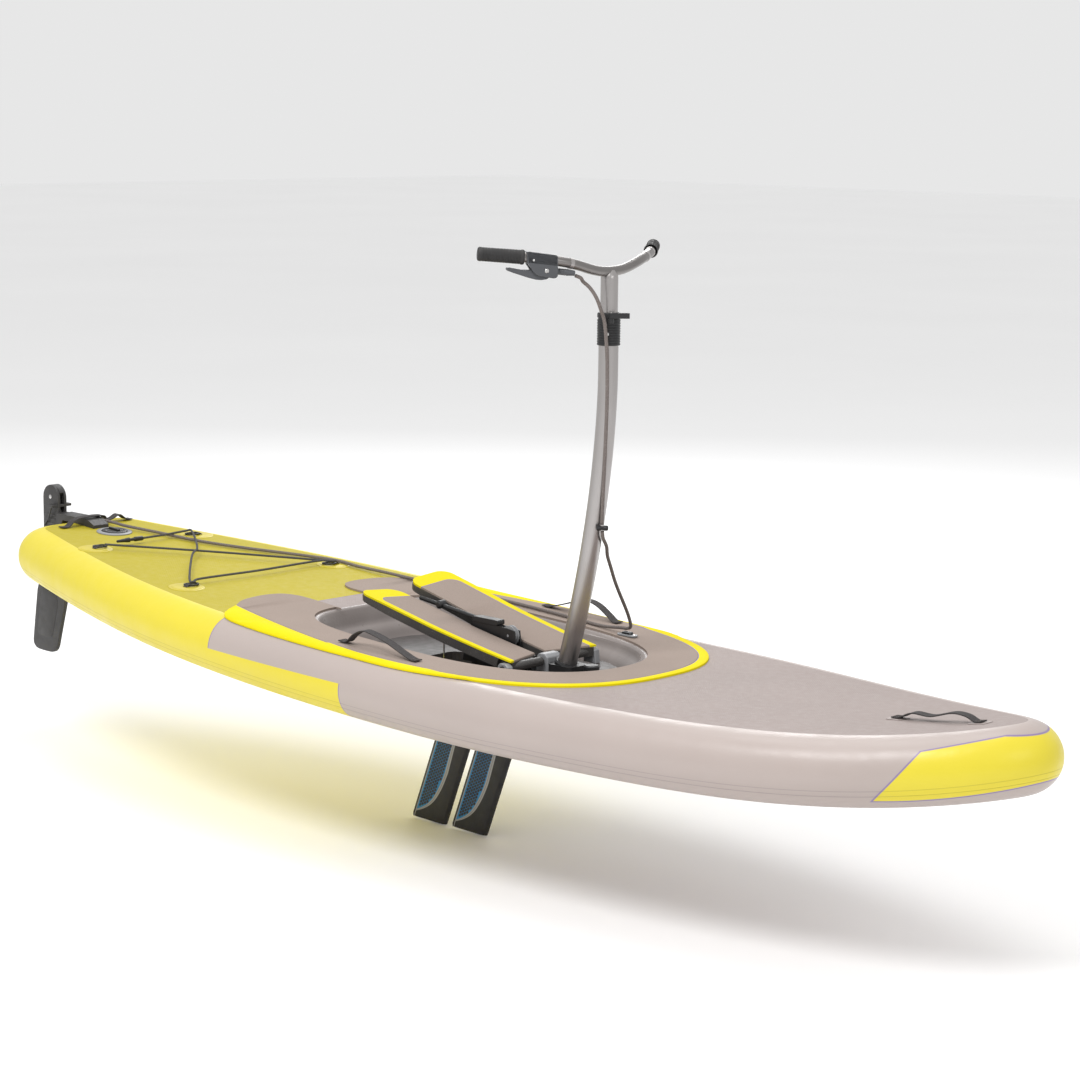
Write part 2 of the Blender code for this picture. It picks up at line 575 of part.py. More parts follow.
# ---- Rudder -----------------------------------------------------------------------------------
def build_rudder():
    web = [(-1.679, 0.234), (-1.664, 0.234), (-1.652, 0.2545), (-1.600, deck(-1.60) + CLEAR),
           (-1.505, deck(-1.505) + CLEAR), (-1.505, 0.2560), (-1.530, 0.2680), (-1.600, 0.2710),
           (-1.679, 0.2710)]
    bracket = prism("rudder_bracket", web, -0.026, 0.026, "dark_plastic", axis="Y")
    lug_outline = [(-1.660, -0.016), (-1.660, 0.016), (PINTLE_X, 0.016), *reversed(
        [(PINTLE_X + 0.013 * math.cos(t), 0.013 * math.sin(t))
         for t in (math.pi * (0.5 + i / 8) for i in range(9))][::-1]), (PINTLE_X, -0.016)]
    hole = turned("pintle_bore", ((0.0, 0.0046), (0.1, 0.0046)), (PINTLE_X, 0, 0.20), (0, 0, 1), None, 16)
    gland = turned("gland_block", ((0.0, 0.0085), (0.030, 0.0085)), (-1.543, 0.0330, 0.2625),
                   (-1, -0.25, 0.05), None, 14)
    for z in (0.234, 0.263):
        join(bracket, prism("lug", lug_outline, z, z + 0.008, None))
    join(bracket, gland)
    cut(bracket, hole)
    turned("rudder_pin", ((0.0, 0.0070), (0.003, 0.0070), (0.003, 0.0042), (0.0560, 0.0042)),
           (PINTLE_X, 0, 0.2745), (0, 0, -1), "steel", 16)

    steer = pivot("steering_axis", (PINTLE_X, 0, 0.25))
    x0, x1 = RUDDER_X
    middle, half = (x0 + x1) / 2, (x1 - x0) / 2
    crown = [(middle + half * math.cos(t), RUDDER_TOP - half + half * math.sin(t))
             for t in (math.pi * i / 12 for i in range(13))]
    cheek = [*crown, (x0, 0.150), (x0 + 0.018, 0.098), (x1 - 0.012, 0.098), (x1, 0.125)]
    housing = prism("rudder_housing", cheek, -0.015, 0.015, "dark_plastic", axis="Y",
                    parent=steer)
    cutters = [box("blade_slot", (-1.85, -1.60), (-0.0066, 0.0066), (0.05, 0.200), None),
               box("lug_slot_low", (-1.723, -1.60), (-0.05, 0.05), (0.2325, 0.2435), None),
               box("lug_slot_high", (-1.723, -1.60), (-0.05, 0.05), (0.2615, 0.2785), None),
               box("tiller_slot", (-1.7124, -1.60), (-0.05, 0.05), (0.2860, 0.2945), None),
               turned("pin_bore", ((0.0, 0.0045), (0.070, 0.0045)), (PINTLE_X, 0, 0.216), (0, 0, 1), None,
                      16),
               turned("bolt_bore", ((0.0, 0.0054), (0.08, 0.0054)), (BLADE_PIVOT[0], -0.04, BLADE_PIVOT[1]),
                      (0, 1, 0), None, 16)]
    cut(housing, *cutters)
    horn = [(PINTLE_X - 0.010, -0.034), (PINTLE_X + 0.012, -0.034), (PINTLE_X + 0.016, 0.0),
            (PINTLE_X + 0.012, 0.034), (PINTLE_X - 0.010, 0.034)]
    tiller = prism("tiller_arm", horn, 0.2865, 0.2940, "dark_plastic", bevel=0.001, parent=steer)
    link = smooth_path([(-1.702, -0.027, 0.2885), (-1.709, -0.0265, 0.276), (-1.726, -0.0220, 0.252),
                        (-1.752, -0.0175, 0.228)], 3)
    rod = sweep("steering_link", link, [(0.0022 * math.cos(t), 0.0022 * math.sin(t))
                for t in (math.pi * 2 * k / 8 for k in range(8))], None, up=(0, 1, 0))
    join(tiller, rod)
    turned("blade_bolt", ((0.0, 0.0085), (0.004, 0.0085), (0.004, 0.0050), (0.0344, 0.0050),
                          (0.0344, 0.0080), (0.0385, 0.0080)),
           (BLADE_PIVOT[0], -0.0192, BLADE_PIVOT[1]), (0, 1, 0), "steel", 16, parent=steer)

    kick = pivot("kick_up_axis", (BLADE_PIVOT[0], 0, BLADE_PIVOT[1]))
    top = [(BLADE_PIVOT[0] + 0.038 * math.cos(t), BLADE_PIVOT[1] + 0.038 * math.sin(t))
           for t in (math.pi * i / 10 for i in range(11))]
    blade = [*top, (-1.790, 0.085), (-1.810, 0.030), (-1.834, -0.120), (-1.829, -0.137), (-1.810, -0.1465),
             (-1.758, -0.1480), (-1.732, -0.1440), (-1.716, -0.1250), (-1.676, 0.0045), (-1.680, 0.060)]
    plate = prism("rudder_blade", blade, -0.0060, 0.0060, "dark_plastic", axis="Y", bevel=0.0022,
                  parent=kick)
    cut(plate, turned("blade_bore", ((0.0, 0.0054), (0.08, 0.0054)),
                      (BLADE_PIVOT[0], -0.04, BLADE_PIVOT[1]), (0, 1, 0), None, 16))


# ---- Drive ------------------------------------------------------------------------------------
def build_drive_frame():
    floor = WELL_FLOOR + GAP
    tray = prism("drive_tray", well_outline(-0.056), floor, TRAY_TOP, "grey_plastic")
    outer = rounded((SLOT_X[0] + GAP, SLOT_X[1] - GAP), (-SLOT_HALF + GAP, SLOT_HALF - GAP), 0.0296)
    duct = prism("duct", outer, 0.012, TRAY_TOP - 0.002, None)
    nose = [(x, y) for x, y in well_outline(-0.054) if x > 0.225]
    nose.sort(key=lambda p: math.atan2(p[1], p[0] - 0.3))
    step = prism("fore_step", nose, floor + 0.002, BLOCK_TOP, None)
    bore = prism("duct_bore", rounded((SLOT_X[0] + 0.008, SLOT_X[1] - 0.010), (-0.054, 0.054), 0.026),
                 -0.05, 0.2, None)
    join(tray, duct, step)
    cut(tray, bore)

    x, z = HINGE
    for side, name in ((-1, "right"), (1, "left")):
        y = sorted((side * 0.1405, side * 0.1580))
        block = prism("hinge_block_" + name,
                      [(x - 0.020, BLOCK_TOP + GAP), (x + 0.022, BLOCK_TOP + GAP), (x + 0.017, 0.143),
                       (x + 0.008, 0.1495), (x - 0.010, 0.1495), (x - 0.017, 0.143)], *y,
                      "grey_plastic", axis="Y", bevel=0.0015)
        cut(block, turned("axle_bore", ((0.0, 0.0063), (0.06, 0.0063)), (x, side * 0.12, z),
                          (0, side, 0), None, 16))
    centre = prism("hinge_block_centre",
                   [(x - 0.022, BLOCK_TOP + GAP), (x + 0.022, BLOCK_TOP + GAP), (x + 0.017, 0.148),
                    (x + 0.008, 0.1555), (x - 0.010, 0.1555), (x - 0.018, 0.148)], -0.0240, 0.0240,
                   "grey_plastic", axis="Y", bevel=0.0015)
    cut(centre, turned("axle_bore_centre", ((0.0, 0.0063), (0.08, 0.0063)), (x, -0.04, z), (0, 1, 0), None,
                       16))
    turned("hinge_axle", ((0.0, 0.0060), (0.326, 0.0060)), (x, -0.163, z), (0, 1, 0), "steel", 16)

    plate = [(-0.030, TRAY_TOP + GAP), (-0.022, 0.150), (0.002, 0.197), (0.096, 0.197), (0.146, 0.192),
             (0.152, 0.152), (0.198, 0.118), (0.212, TRAY_TOP + GAP + 0.006), (0.212, 0.028),
             (0.201, 0.028), (0.201, 0.088), (0.115, 0.088), (0.115, 0.028), (0.103, 0.028),
             (0.103, 0.088), (0.012, 0.088), (0.012, 0.028), (0.001, 0.028), (0.001, TRAY_TOP + GAP)]
    spine = prism("drive_spine", plate, -0.0105, 0.0105, "black_plastic", axis="Y")
    idler = (0.124, 0.178)
    cut(spine,
        turned("shaft_bore", ((0.0, 0.0054), (0.3, 0.0054)), (-0.02, 0, FIN_AXIS_Z), (1, 0, 0), None, 16),
        box("idler_slot", (0.094, 0.20), (-0.0068, 0.0068), (0.149, 0.25), None),
        turned("idler_bore", ((0.0, 0.0036), (0.06, 0.0036)), (idler[0], -0.03, idler[1]), (0, 1, 0), None,
               14))
    turned("fin_shaft", ((0.0, 0.0050), (0.2130, 0.0050)), (-0.001, 0, FIN_AXIS_Z), (1, 0, 0), "steel", 16)
    prism("spine_cap", rounded((0.0035, 0.091), (0.1974, 0.2105), 0.004), -0.0128, 0.0128, "grey_plastic",
          axis="Y", bevel=0.0015)
    rod = turned("drive_handle", ((0.0, 0.0058), (0.196, 0.0058), (0.199, 0.0040)), (0.0030, 0, 0.2045),
                 (-1, 0, 0.115), "black_plastic", 14)
    knob = turned("handle_knob", ((-0.0125, 0.006), (-0.0095, 0.0105), (0.0095, 0.0105), (0.0125, 0.006)),
                  (-0.118, 0, 0.2205), (0, 1, 0), None, 16)
    join(rod, knob)
    wheel_axis = pivot("idler_axis", (idler[0], 0, idler[1]))
    turned("idler_pulley", ((-0.0100, 0.0033), (-0.0062, 0.0033), (-0.0062, 0.0240), (-0.0042, 0.0240),
                            (-0.0024, 0.0190), (0.0024, 0.0190), (0.0042, 0.0240), (0.0062, 0.0240),
                            (0.0062, 0.0033), (0.0100, 0.0033)), (idler[0], 0, idler[1]), (0, 1, 0),
           "grey_plastic", 18, parent=wheel_axis)

    for side, name in ((-1, "right"), (1, "left")):
        at = (-0.040, side * 0.118, 0.1045)
        cam = pivot(f"lock_cam_{name}_axis", at)
        turned("lock_cam_" + name, ((-0.012, 0.0090), (0.012, 0.0090)), at, (0, 1, 0), "yellow_foam", 16,
               parent=cam)
        tab = box("cam_tab", (0.0, 0.085), (-0.0115, 0.0115), (-0.004, 0.003), None, bevel=0.001)
        tab.parent = cam
        join(bpy.data.objects["lock_cam_" + name], tab)


def build_fins():
    down = Vector((-FIN_RAKE, 0, -1)).normalized()
    for end, x in FIN_X.items():
        root = Vector((x, 0, FIN_AXIS_Z))
        swing = pivot(f"fin_{end}_axis", root)
        mast = turned("fin_mast_" + end, ((-0.0105, 0.0300), (-0.0075, 0.0340), (0.0075, 0.0340),
                                          (0.0105, 0.0300)), root, (1, 0, 0), "black_plastic", 24,
                      parent=swing)
        rod = turned("mast_rod", ((0.010, 0.0062), (0.385, 0.0052)), root, down, None, 14, parent=swing)
        bore = turned("drum_bore", ((-0.05, 0.0054), (0.05, 0.0054)), root, (1, 0, 0), None, 16, parent=swing)
        join(mast, rod)
        cut(mast, bore)
        build_sail(end, root, down)


def build_sail(end, root, down):
    """A fin's flexible sail: a thin foil sleeved over its mast, raked aft, with rounded tips."""
    twist = pivot(f"fin_{end}_twist_axis", root)
    sections = []
    levels = 10
    for i in range(levels + 1):
        z = FIN_TOP + (FIN_TIP - FIN_TOP) * i / levels
        depth = FIN_AXIS_Z - z
        mast_x = root.x - FIN_RAKE * depth
        share = i / levels
        trail = FIN_CHORD * (1 - 0.10 * max(0.0, share - 0.9) / 0.1)
        lead = 0.012
        ring = []
        for along_chord, half in ((0.0, 0.0030), (0.06, 0.0082), (0.16, 0.0096), (0.35, 0.0076),
                                  (0.7, 0.0040), (1.0, 0.0012)):
            ring.append((mast_x + lead - trail * along_chord, half, z))
        ring += [(p[0], -p[1], p[2]) for p in reversed(ring)]
        sections.append(ring)
    sail = finish("fin_sail_" + end, rings_mesh(sections), "blue_fin", twist)
    cut(sail, turned("mast_bore", ((0.0, 0.0070), (0.40, 0.0070)), root, down, None, 14))


def build_pedals():
    x, z = HINGE

    def core_top(at, y):
        share = (PEDAL_Y[1] - abs(y)) / (PEDAL_Y[1] - PEDAL_Y[0])
        return along(PEDAL_TOP, at + x) - PEDAL_BANK * share - PAD_T - CLEAR - z

    def core_low(at, y):
        return core_top(at, y) - along(PEDAL_CORE, at + x)

    for side, name in ((-1, "right"), (1, "left")):
        swing = pivot(f"pedal_{name}_axis", (x, 0, z))
        swing.rotation_euler = (0, side * PEDAL_TILT, 0)
        inner, outer = side * PEDAL_Y[0], side * PEDAL_Y[1]
        body = draped("pedal_" + name, pedal_outline(inner, outer, 0.0), core_low, core_top, "board_core",
                      step=0.04)
        out = (0, side, 0)
        sleeve = turned("sleeve", ((0.0, 0.0112), (0.1075, 0.0112)), (0, side * 0.0290, 0), out, None, 18)
        arm = box("pedal_arm", (-0.060, -0.004), sorted((side * 0.040, side * 0.130)), (-0.006, 0.008), None)
        bore = turned("sleeve_bore", ((0.0, 0.0063), (0.2, 0.0063)), (0, side * 0.01, 0), out, None)
        room = turned("centre_room", ((0.0, 0.026), (0.0287, 0.026)), (0, 0, 0), out, None)
        end_room = turned("block_room", ((0.0, 0.030), (0.03, 0.030)), (0, side * 0.1395, 0), out, None)
        join(body, sleeve, arm)
        cut(body, bore, room, end_room)
        pad = draped("pedal_pad_" + name, pedal_outline(inner + side * 0.0015, outer - side * 0.0015, 0.0015),
                     lambda at, y: core_top(at, y) + CLEAR, lambda at, y: core_top(at, y) + CLEAR + PAD_T,
                     "eva_foam", step=0.04)
        for piece in (body, sleeve, arm, bore, room, end_room, pad):
            piece.parent = swing
        anchor = (-0.020, side * 0.085)
        reach = z + core_low(anchor[0] - x, anchor[1]) - 0.0115 - CABLE_FOOT
        turned("drive_cable_" + name,
               ((0.0, 0.0060), (0.008, 0.0060), (0.010, 0.0022), (reach - 0.012, 0.0022),
                (reach - 0.010, 0.0050), (reach, 0.0050)), (*anchor, CABLE_FOOT), (0, 0, 1), "steel", 12)


def pedal_outline(inner, outer, inset):
    """A pedal's plan about its hinge: a slanted fore end, and round corners at the free end."""
    radius = 0.034
    side = 1 if outer > inner else -1
    aft = PEDAL_X[0] - HINGE[0] + inset
    points = [(PEDAL_X[1] - HINGE[0] - inset, inner), (PEDAL_X[2] - HINGE[0] - inset, outer)]
    for corner, toward in ((outer, -side), (inner, side)):
        turns = [math.pi / 2 * i / 5 for i in range(6)]
        arc = [(aft + radius * (1 - math.sin(t)), corner + toward * radius * (1 - math.cos(t)))
               for t in turns]
        points += arc if corner == outer else arc[::-1]
    return points


# ---- Mast, stem and handlebar -----------------------------------------------------------------
def round_section(radius, count=20):
    return [(radius * math.cos(2 * math.pi * i / count), radius * math.sin(2 * math.pi * i / count))
            for i in range(count)]


def mast_x(z):
    bend, factor, power = MAST_BEND
    return MAST_X - factor * max(0.0, bend - z) ** power


def mast_point(z):
    return Vector((mast_x(z), 0, z))


def mast_side(z, right, near):
    """A point beside the mast: near is its offset towards the starboard bow, right is square to that."""
    c, s = math.cos(CLAMP_SIDE), math.sin(CLAMP_SIDE)
    return (mast_x(z) + c * right + s * near, s * right - c * near, z)


def hollow_tube(name, path, radius, bore, key, parent=board, count=16):
    def rings(r, pts):
        found = []
        for i, point in enumerate(pts):
            ahead = (pts[min(i + 1, len(pts) - 1)] - pts[max(i - 1, 0)]).normalized()
            side = Vector((0, 1, 0))
            top = ahead.cross(side)
            found.append([point + r * (side * math.cos(t) + top * math.sin(t))
                          for t in (2 * math.pi * k / count for k in range(count))])
        return found

    outer, inner = rings(radius, path), rings(bore, path)
    return finish(name, rings_mesh([*outer, *reversed(inner)], hollow=True), key, parent)


def build_mast():
    foot = mast_point(MAST_FOOT_Z)
    slope = (mast_x(MAST_FOOT_Z + 0.02) - foot.x) / 0.02
    base = prism("mast_base", rounded((0.2775, 0.3540), (-0.034, 0.034), 0.012), BLOCK_TOP + GAP, 0.1370,
                 "black_plastic")
    neck = turned("mast_neck", ((0.0, 0.0290), (0.012, 0.0290), (0.017, 0.0270)),
                  foot + Vector((0.001, 0, 0.0055)), (slope, 0, 1), None, 18)
    room = MAST_R + 0.0009
    socket = turned("mast_socket", ((-0.0016, room), (0.06, room)), foot, (slope, 0, 1), None, 18)
    knob_at = (0.392, 0, 0.1250)
    boss = turned("knob_boss", ((0.0, 0.016), (0.014, 0.016)), (knob_at[0], 0, BLOCK_TOP + GAP), (0, 0, 1),
                  None)
    tongue = box("knob_tongue", (0.345, knob_at[0]), (-0.016, 0.016), (BLOCK_TOP + GAP, 0.1244), None)
    join(base, neck, tongue, boss)
    cut(base, socket)
    knob_axis = pivot("base_knob_axis", knob_at)
    turned("base_knob", ((0.0, 0.0100), (0.004, 0.0100), (0.005, 0.0185), (0.018, 0.0195), (0.021, 0.0160)),
           knob_at, (0, 0, 1), "black_plastic", 18, parent=knob_axis)

    heights = [MAST_FOOT_Z + (MAST_BEND[0] - 0.02 - MAST_FOOT_Z) * i / 9 for i in range(10)]
    hollow_tube("mast_tube", [mast_point(z) for z in (*heights, MAST_TOP)], MAST_R, MAST_BORE, "aluminium")

    low, high = CLAMP_Z
    height = high - low
    hollow = ((0.0, 0.0262), (height - 0.015, 0.0262), (height - 0.015, 0.0248), (height - 0.012, 0.0248),
              (height - 0.012, 0.0270), (height - 0.002, 0.0270), (height - 0.002, MAST_R + 0.0008),
              (0.0, MAST_R + 0.0008))
    clamp = turned("mast_clamp", hollow, mast_point(low), (0, 0, 1), "black_plastic", 18, hollow=True)
    ear = turned("clamp_ear", ((0.0, 0.0065), (0.0105, 0.0065)), mast_side(high - 0.0225, 0.004, 0.0315),
                 (0, 0, 1), None, 12)
    bridge = turned("clamp_bridge", ((0.0, 0.0045), (0.012, 0.0045)), mast_side(high - 0.0172, 0.004, 0.0245),
                    Vector(mast_side(0.9, 0, 1)) - Vector(mast_side(0.9, 0, 0)), None, 10)
    join(clamp, bridge, ear)
    lever_at = Vector(mast_side(high - 0.0116, 0.004, 0.0315))
    lever_axis = pivot("clamp_lever_axis", lever_at)
    handle = [(-0.0040, -0.0021), (-0.0030, 0.0065), (0.0060, 0.0065), (0.0200, 0.0030), (0.0420, 0.0020),
              (0.0420, -0.0045), (0.0100, -0.0032)]
    right, near = mast_side(0.9, 1, 0), mast_side(0.9, 0, 1)
    c, s = right[0] - MAST_X, right[1]
    outline = [(lever_at.x + c * a + s * b, lever_at.y + s * a - c * b) for a, b in handle]
    prism("clamp_lever", outline, lever_at.z, lever_at.z + 0.0130, "black_plastic", parent=lever_axis)

    stem_axis = pivot("stem_axis", mast_point(MAST_TOP))
    stem = hollow_tube("stem", [mast_point(z) for z in (STEM_LOW, STEM_TOP)], STEM_R, 0.0175, "aluminium",
                       stem_axis)
    return stem_axis, stem


def bar_points(side, per_span=2):
    """The handlebar's centreline on one side, or on both when side is 0."""
    half = [(MAST_X - sweep_aft, out, BAR_Z + rise) for sweep_aft, out, rise in BAR_PATH]
    if side:
        return smooth_path([(x, side * y, z) for x, y, z in half], per_span)
    both = [(x, -y, z) for x, y, z in reversed(half[1:])] + half
    return smooth_path(both, per_span)


def bar_at(out, side):
    """A point of the handlebar's centreline at this distance from the centre, and its outward direction."""
    points = [Vector(p) for p in bar_points(side, 12)]
    for a, b in zip(points, points[1:]):
        if abs(b.y) >= out:
            share = (out - abs(a.y)) / (abs(b.y) - abs(a.y))
            return a.lerp(b, share), (b - a).normalized()
    return points[-1], (points[-1] - points[-2]).normalized()


def build_handlebar(stem_axis, stem):
    sweep("handlebar", bar_points(0), round_section(BAR_R, 12), "aluminium", parent=stem_axis)
    saddle = turned("stem_saddle", ((-0.03, BAR_R + GAP), (0.03, BAR_R + GAP)), (MAST_X, 0, BAR_Z), (0, 1, 0),
                    None, parent=stem_axis)
    cut(stem, saddle)
    for side, name in ((-1, "right"), (1, "left")):
        start, end = bar_at(GRIP_Y[0], side)[0], bar_at(GRIP_Y[1], side)[0]
        run = (end - start).length + 0.006
        shape = ((0.0, 0.0158), (0.004, 0.0172), (0.35 * run, 0.0165), (0.7 * run, 0.0158),
                 (run - 0.006, 0.0162), (run, 0.0130))
        grip = turned("grip_" + name, shape, start, end - start, "rubber", 18, parent=stem_axis)
        bore_path = [p for p in bar_points(side) if abs(p.y) > 0.08]
        bore = sweep("bar_bore", bore_path, round_section(BAR_R + GAP, 12), None, parent=stem_axis)
        cut(grip, bore)
        if side == -1:
            build_lever(stem_axis, bore)


def build_lever(stem_axis, bore):
    """The steering lever on the starboard side, in a housing clamped round the bar."""
    middle = HOUSING_AT
    centre, out = bar_at(middle, -1)
    across = out.cross(Vector((0, 0, 1))).normalized()

    def local(s, h, n):
        return centre + out * (s - middle) + Vector((0, 0, h)) + across * n

    def plate(shape, half, bevel):
        bm = rings_mesh([[local(s, h, n) for s, h in shape] for n in (-half, half)])
        if bevel:
            bmesh.ops.bevel(bm, geom=list(bm.edges), offset=bevel, segments=1, affect="EDGES")
        return bm

    inner, outer = HOUSING_Y
    shell = [(inner, 0.0125), (outer, 0.0140), (outer, -0.0080), (0.209, -0.0220), (0.199, -0.0340),
             (0.187, -0.0385), (0.156, -0.0400), (inner, -0.0340)]
    housing = finish("lever_housing", plate(shell, 0.0165, 0.003), "dark_plastic", stem_axis)
    boot = turned("cable_boot", ((-0.006, 0.0078), (0.024, 0.0078), (0.043, 0.0060)),
                  local(inner, -0.0235, 0.0), -out, None, 14, parent=stem_axis)
    room = [(0.151, -0.0140), (0.200, -0.0140), (0.2135, -0.0200), (0.26, -0.0200), (0.26, -0.06),
            (0.151, -0.06)]
    slot = finish("lever_slot", plate(room, 0.0078, 0.0), None, stem_axis)
    join(housing, boot)
    cut(housing, bore, slot)
    lever_axis = pivot("steer_lever_axis", local(0.172, -0.0245, 0.0))
    arm = [(0.1580, -0.0300), (0.1610, -0.0200), (0.1680, -0.0165), (0.1780, -0.0165), (0.1880, -0.0215),
           (0.2050, -0.0265), (0.2300, -0.0285), (0.2580, -0.0265), (0.2630, -0.0305), (0.2590, -0.0350),
           (0.2300, -0.0415), (0.1950, -0.0475), (0.1700, -0.0440), (0.1600, -0.0370)]
    finish("steer_lever", plate(arm, 0.0070, 0.0016), "dark_plastic", lever_axis)


def build_steering_line():
    start, out = bar_at(0.1055, -1)
    start = start + Vector((0, 0, -0.0245))
    upper = [start, start - out * 0.012 + Vector((0.003, 0.001, -0.003)), (0.4240, -0.082, 1.0517),
             (0.4350, -0.070, 1.0371), (0.4449, -0.0585, 1.0145), (0.4490, -0.0475, 0.9870),
             mast_side(0.957, -0.0105, 0.0362), mast_side(0.900, -0.0050, 0.0325),
             mast_side(0.860, -0.0030, 0.0288), mast_side(0.780, -0.0010, 0.0280),
             mast_side(0.700, 0.0015, 0.0280), mast_side(0.610, 0.0060, 0.0278),
             mast_side(0.540, 0.0110, 0.0272), mast_side(LINE_SPLIT[0], 0.0165, 0.0262)]
    cord("steering_line_upper", upper, 0.0042, "sheath", per_span=2)
    bead = ((0.0, 0.0040), (0.0025, 0.0062), (0.0095, 0.0062), (0.0120, 0.0045), (0.0160, 0.0045),
            (0.0185, 0.0062), (0.0255, 0.0062), (0.0280, 0.0040))
    toggle_at = mast_side(sum(LINE_SPLIT) / 2, 0.0045, 0.0306)
    across = Vector(mast_side(0.9, 1, 0)) - Vector(mast_side(0.9, 0, 0))
    turned("toggle", bead, toggle_at, across, "black_plastic", 12)

    def on_deck(x, y, h):
        return (x, y, deck(x) + h)

    lower = [mast_side(LINE_SPLIT[1], 0.0200, 0.0262), mast_side(0.4520, 0.0245, 0.0235),
             (0.4060, 0.0305, 0.4270), (0.3894, 0.0525, 0.3998),
             (0.3742, 0.0820, 0.3657), (0.3588, 0.1119, 0.3312), (0.3390, 0.1503, 0.2946),
             (0.3168, 0.1934, 0.2567), (0.2964, 0.2331, 0.2191), (0.2800, 0.2600, 0.1880),
             (0.2630, 0.2655, 0.1795), (0.2400, 0.2705, 0.1770), on_deck(0.16, 0.282, 0.0108),
             on_deck(0.05, 0.292, 0.0108),
             on_deck(-0.137, 0.298, 0.0108), on_deck(-0.32, 0.291, 0.0108), on_deck(-0.475, 0.283, 0.0108),
             on_deck(-0.62, 0.277, 0.0098), on_deck(-0.72, 0.272, 0.0080), on_deck(-0.806, 0.2735, 0.0076),
             on_deck(-0.90, 0.245, 0.0072), on_deck(-1.0825, 0.1600, 0.0070), on_deck(-1.215, 0.1100, 0.0072),
             on_deck(-1.344, 0.0840, 0.0075), on_deck(-1.400, 0.0660, 0.0090),
             on_deck(-1.457, 0.0470, 0.0110), on_deck(-1.500, 0.0392, 0.0130),
             (-1.541, 0.0335, 0.2622)]
    cord("steering_line_lower", lower, 0.0042, "sheath", per_span=2)


build_hull()
build_deck_gear()
build_rudder()
build_drive_frame()
build_fins()
build_pedals()
stem_pivot, stem_tube = build_mast()
build_handlebar(stem_pivot, stem_tube)
build_steering_line()
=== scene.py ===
"""Looks for the pedal-driven inflatable stand-up board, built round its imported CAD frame.

Metres, +Z up. Shapes are written in board coordinates, as in the CAD source, with X measured from
mid-length; finish_piece moves each one back by ORIGIN_X into the frame's own coordinates.
"""

import math

import bmesh
import bpy
from mathutils import Matrix, Vector


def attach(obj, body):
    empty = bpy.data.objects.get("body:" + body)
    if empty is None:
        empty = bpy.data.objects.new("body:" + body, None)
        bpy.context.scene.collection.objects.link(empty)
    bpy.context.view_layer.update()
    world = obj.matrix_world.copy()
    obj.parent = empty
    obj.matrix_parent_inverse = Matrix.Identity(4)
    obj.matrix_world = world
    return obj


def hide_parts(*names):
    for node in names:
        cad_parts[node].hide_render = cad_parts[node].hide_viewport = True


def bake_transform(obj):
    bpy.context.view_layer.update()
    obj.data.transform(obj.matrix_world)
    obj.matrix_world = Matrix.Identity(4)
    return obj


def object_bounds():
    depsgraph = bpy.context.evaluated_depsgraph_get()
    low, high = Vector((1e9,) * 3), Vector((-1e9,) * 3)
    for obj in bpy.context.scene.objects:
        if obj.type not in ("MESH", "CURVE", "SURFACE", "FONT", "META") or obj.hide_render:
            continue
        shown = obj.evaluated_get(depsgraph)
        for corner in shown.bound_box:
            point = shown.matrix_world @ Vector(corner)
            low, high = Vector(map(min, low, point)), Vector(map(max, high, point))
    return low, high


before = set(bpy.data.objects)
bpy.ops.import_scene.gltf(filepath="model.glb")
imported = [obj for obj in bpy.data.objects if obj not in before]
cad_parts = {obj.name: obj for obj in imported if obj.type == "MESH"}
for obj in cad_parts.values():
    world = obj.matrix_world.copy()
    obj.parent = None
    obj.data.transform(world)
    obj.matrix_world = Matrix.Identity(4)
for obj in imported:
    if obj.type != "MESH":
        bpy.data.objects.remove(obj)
CAD_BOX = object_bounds()


def mm(rows):
    """Rows of lengths in millimetres, turned to metres."""
    return [tuple(value / 1000 for value in row) for row in rows]


# ---- Driving dimensions, the same as the CAD's ----
ORIGIN_X = 0.5
LENGTH, WIDTH, THICKNESS = 3.35, 0.895, 0.1525
RAIL = THICKNESS / 2
NOSE_POWER = 0.573
BULGE = (0.549, -0.082, 0.337, -0.425)
TAIL_START, TAIL_SQUARE = 0.96, 5.0
# way, start, rise and power of the lift towards the nose and towards the tail
ROCKERS = ((1, 0.74, 0.079, 2.96), (-1, 0.45, 0.106, 1.449))
WELL_X, WELL_FORE, WELL_AFT, WELL_HALF = 0.05, 0.435, 0.45, 0.26
WELL_POWERS = (2.3, 4.0)
WELL_FLOOR = 0.085
SLOT_X, SLOT_HALF = (-0.13, 0.225), 0.062
PAD_T, PAD_ROUND, CLEAR = 0.005, 0.0014, 0.0006
OFF_VERTEX = 0.00013  # keeps a cut from running through vertices
UP = (0, 0, 1)
PAD_FORE, PAD_HALF, BORDER_FORE, BORDER_HALF = 0.6, 0.378, 0.625, 0.402
PAD_POWER = 2.5
HINGE = (0.2537, 0.138)
PEDAL_Y = (0.0165, 0.148)
MAST_X = 0.4305
MAST_BEND = (0.84, 0.2187, 1.75)
MAST_FOOT_Z, MAST_TOP, STEM_LOW, STEM_TOP = 0.1225, 0.9745, 0.822, 1.0566
MAST_R, MAST_BORE, STEM_R, STEM_BORE = 0.0231, 0.0212, 0.0203, 0.0175
CLAMP_SIDE = math.radians(44)
BAR_Z, BAR_R = 1.072, 0.0116
BAR_PATH = mm(((0, 0, 0), (0, 35, 2), (2.5, 65, 7.5), (7, 100, 17), (20.5, 140, 26), (49, 190, 33.3),
    (85.5, 240, 39), (127.5, 292, 43.2)))
LINE_SPLIT = (0.4855, 0.4695)
PATCH_AFT, PATCH_FORE, RING_IN = (-1.297, 0.176), (-0.804, 0.254), 0.016
VALVE_X = -1.444
FIN_AXIS_Z, FIN_RAKE, FIN_X = 0.045, 0.387, {"fore": 0.184, "aft": 0.041}
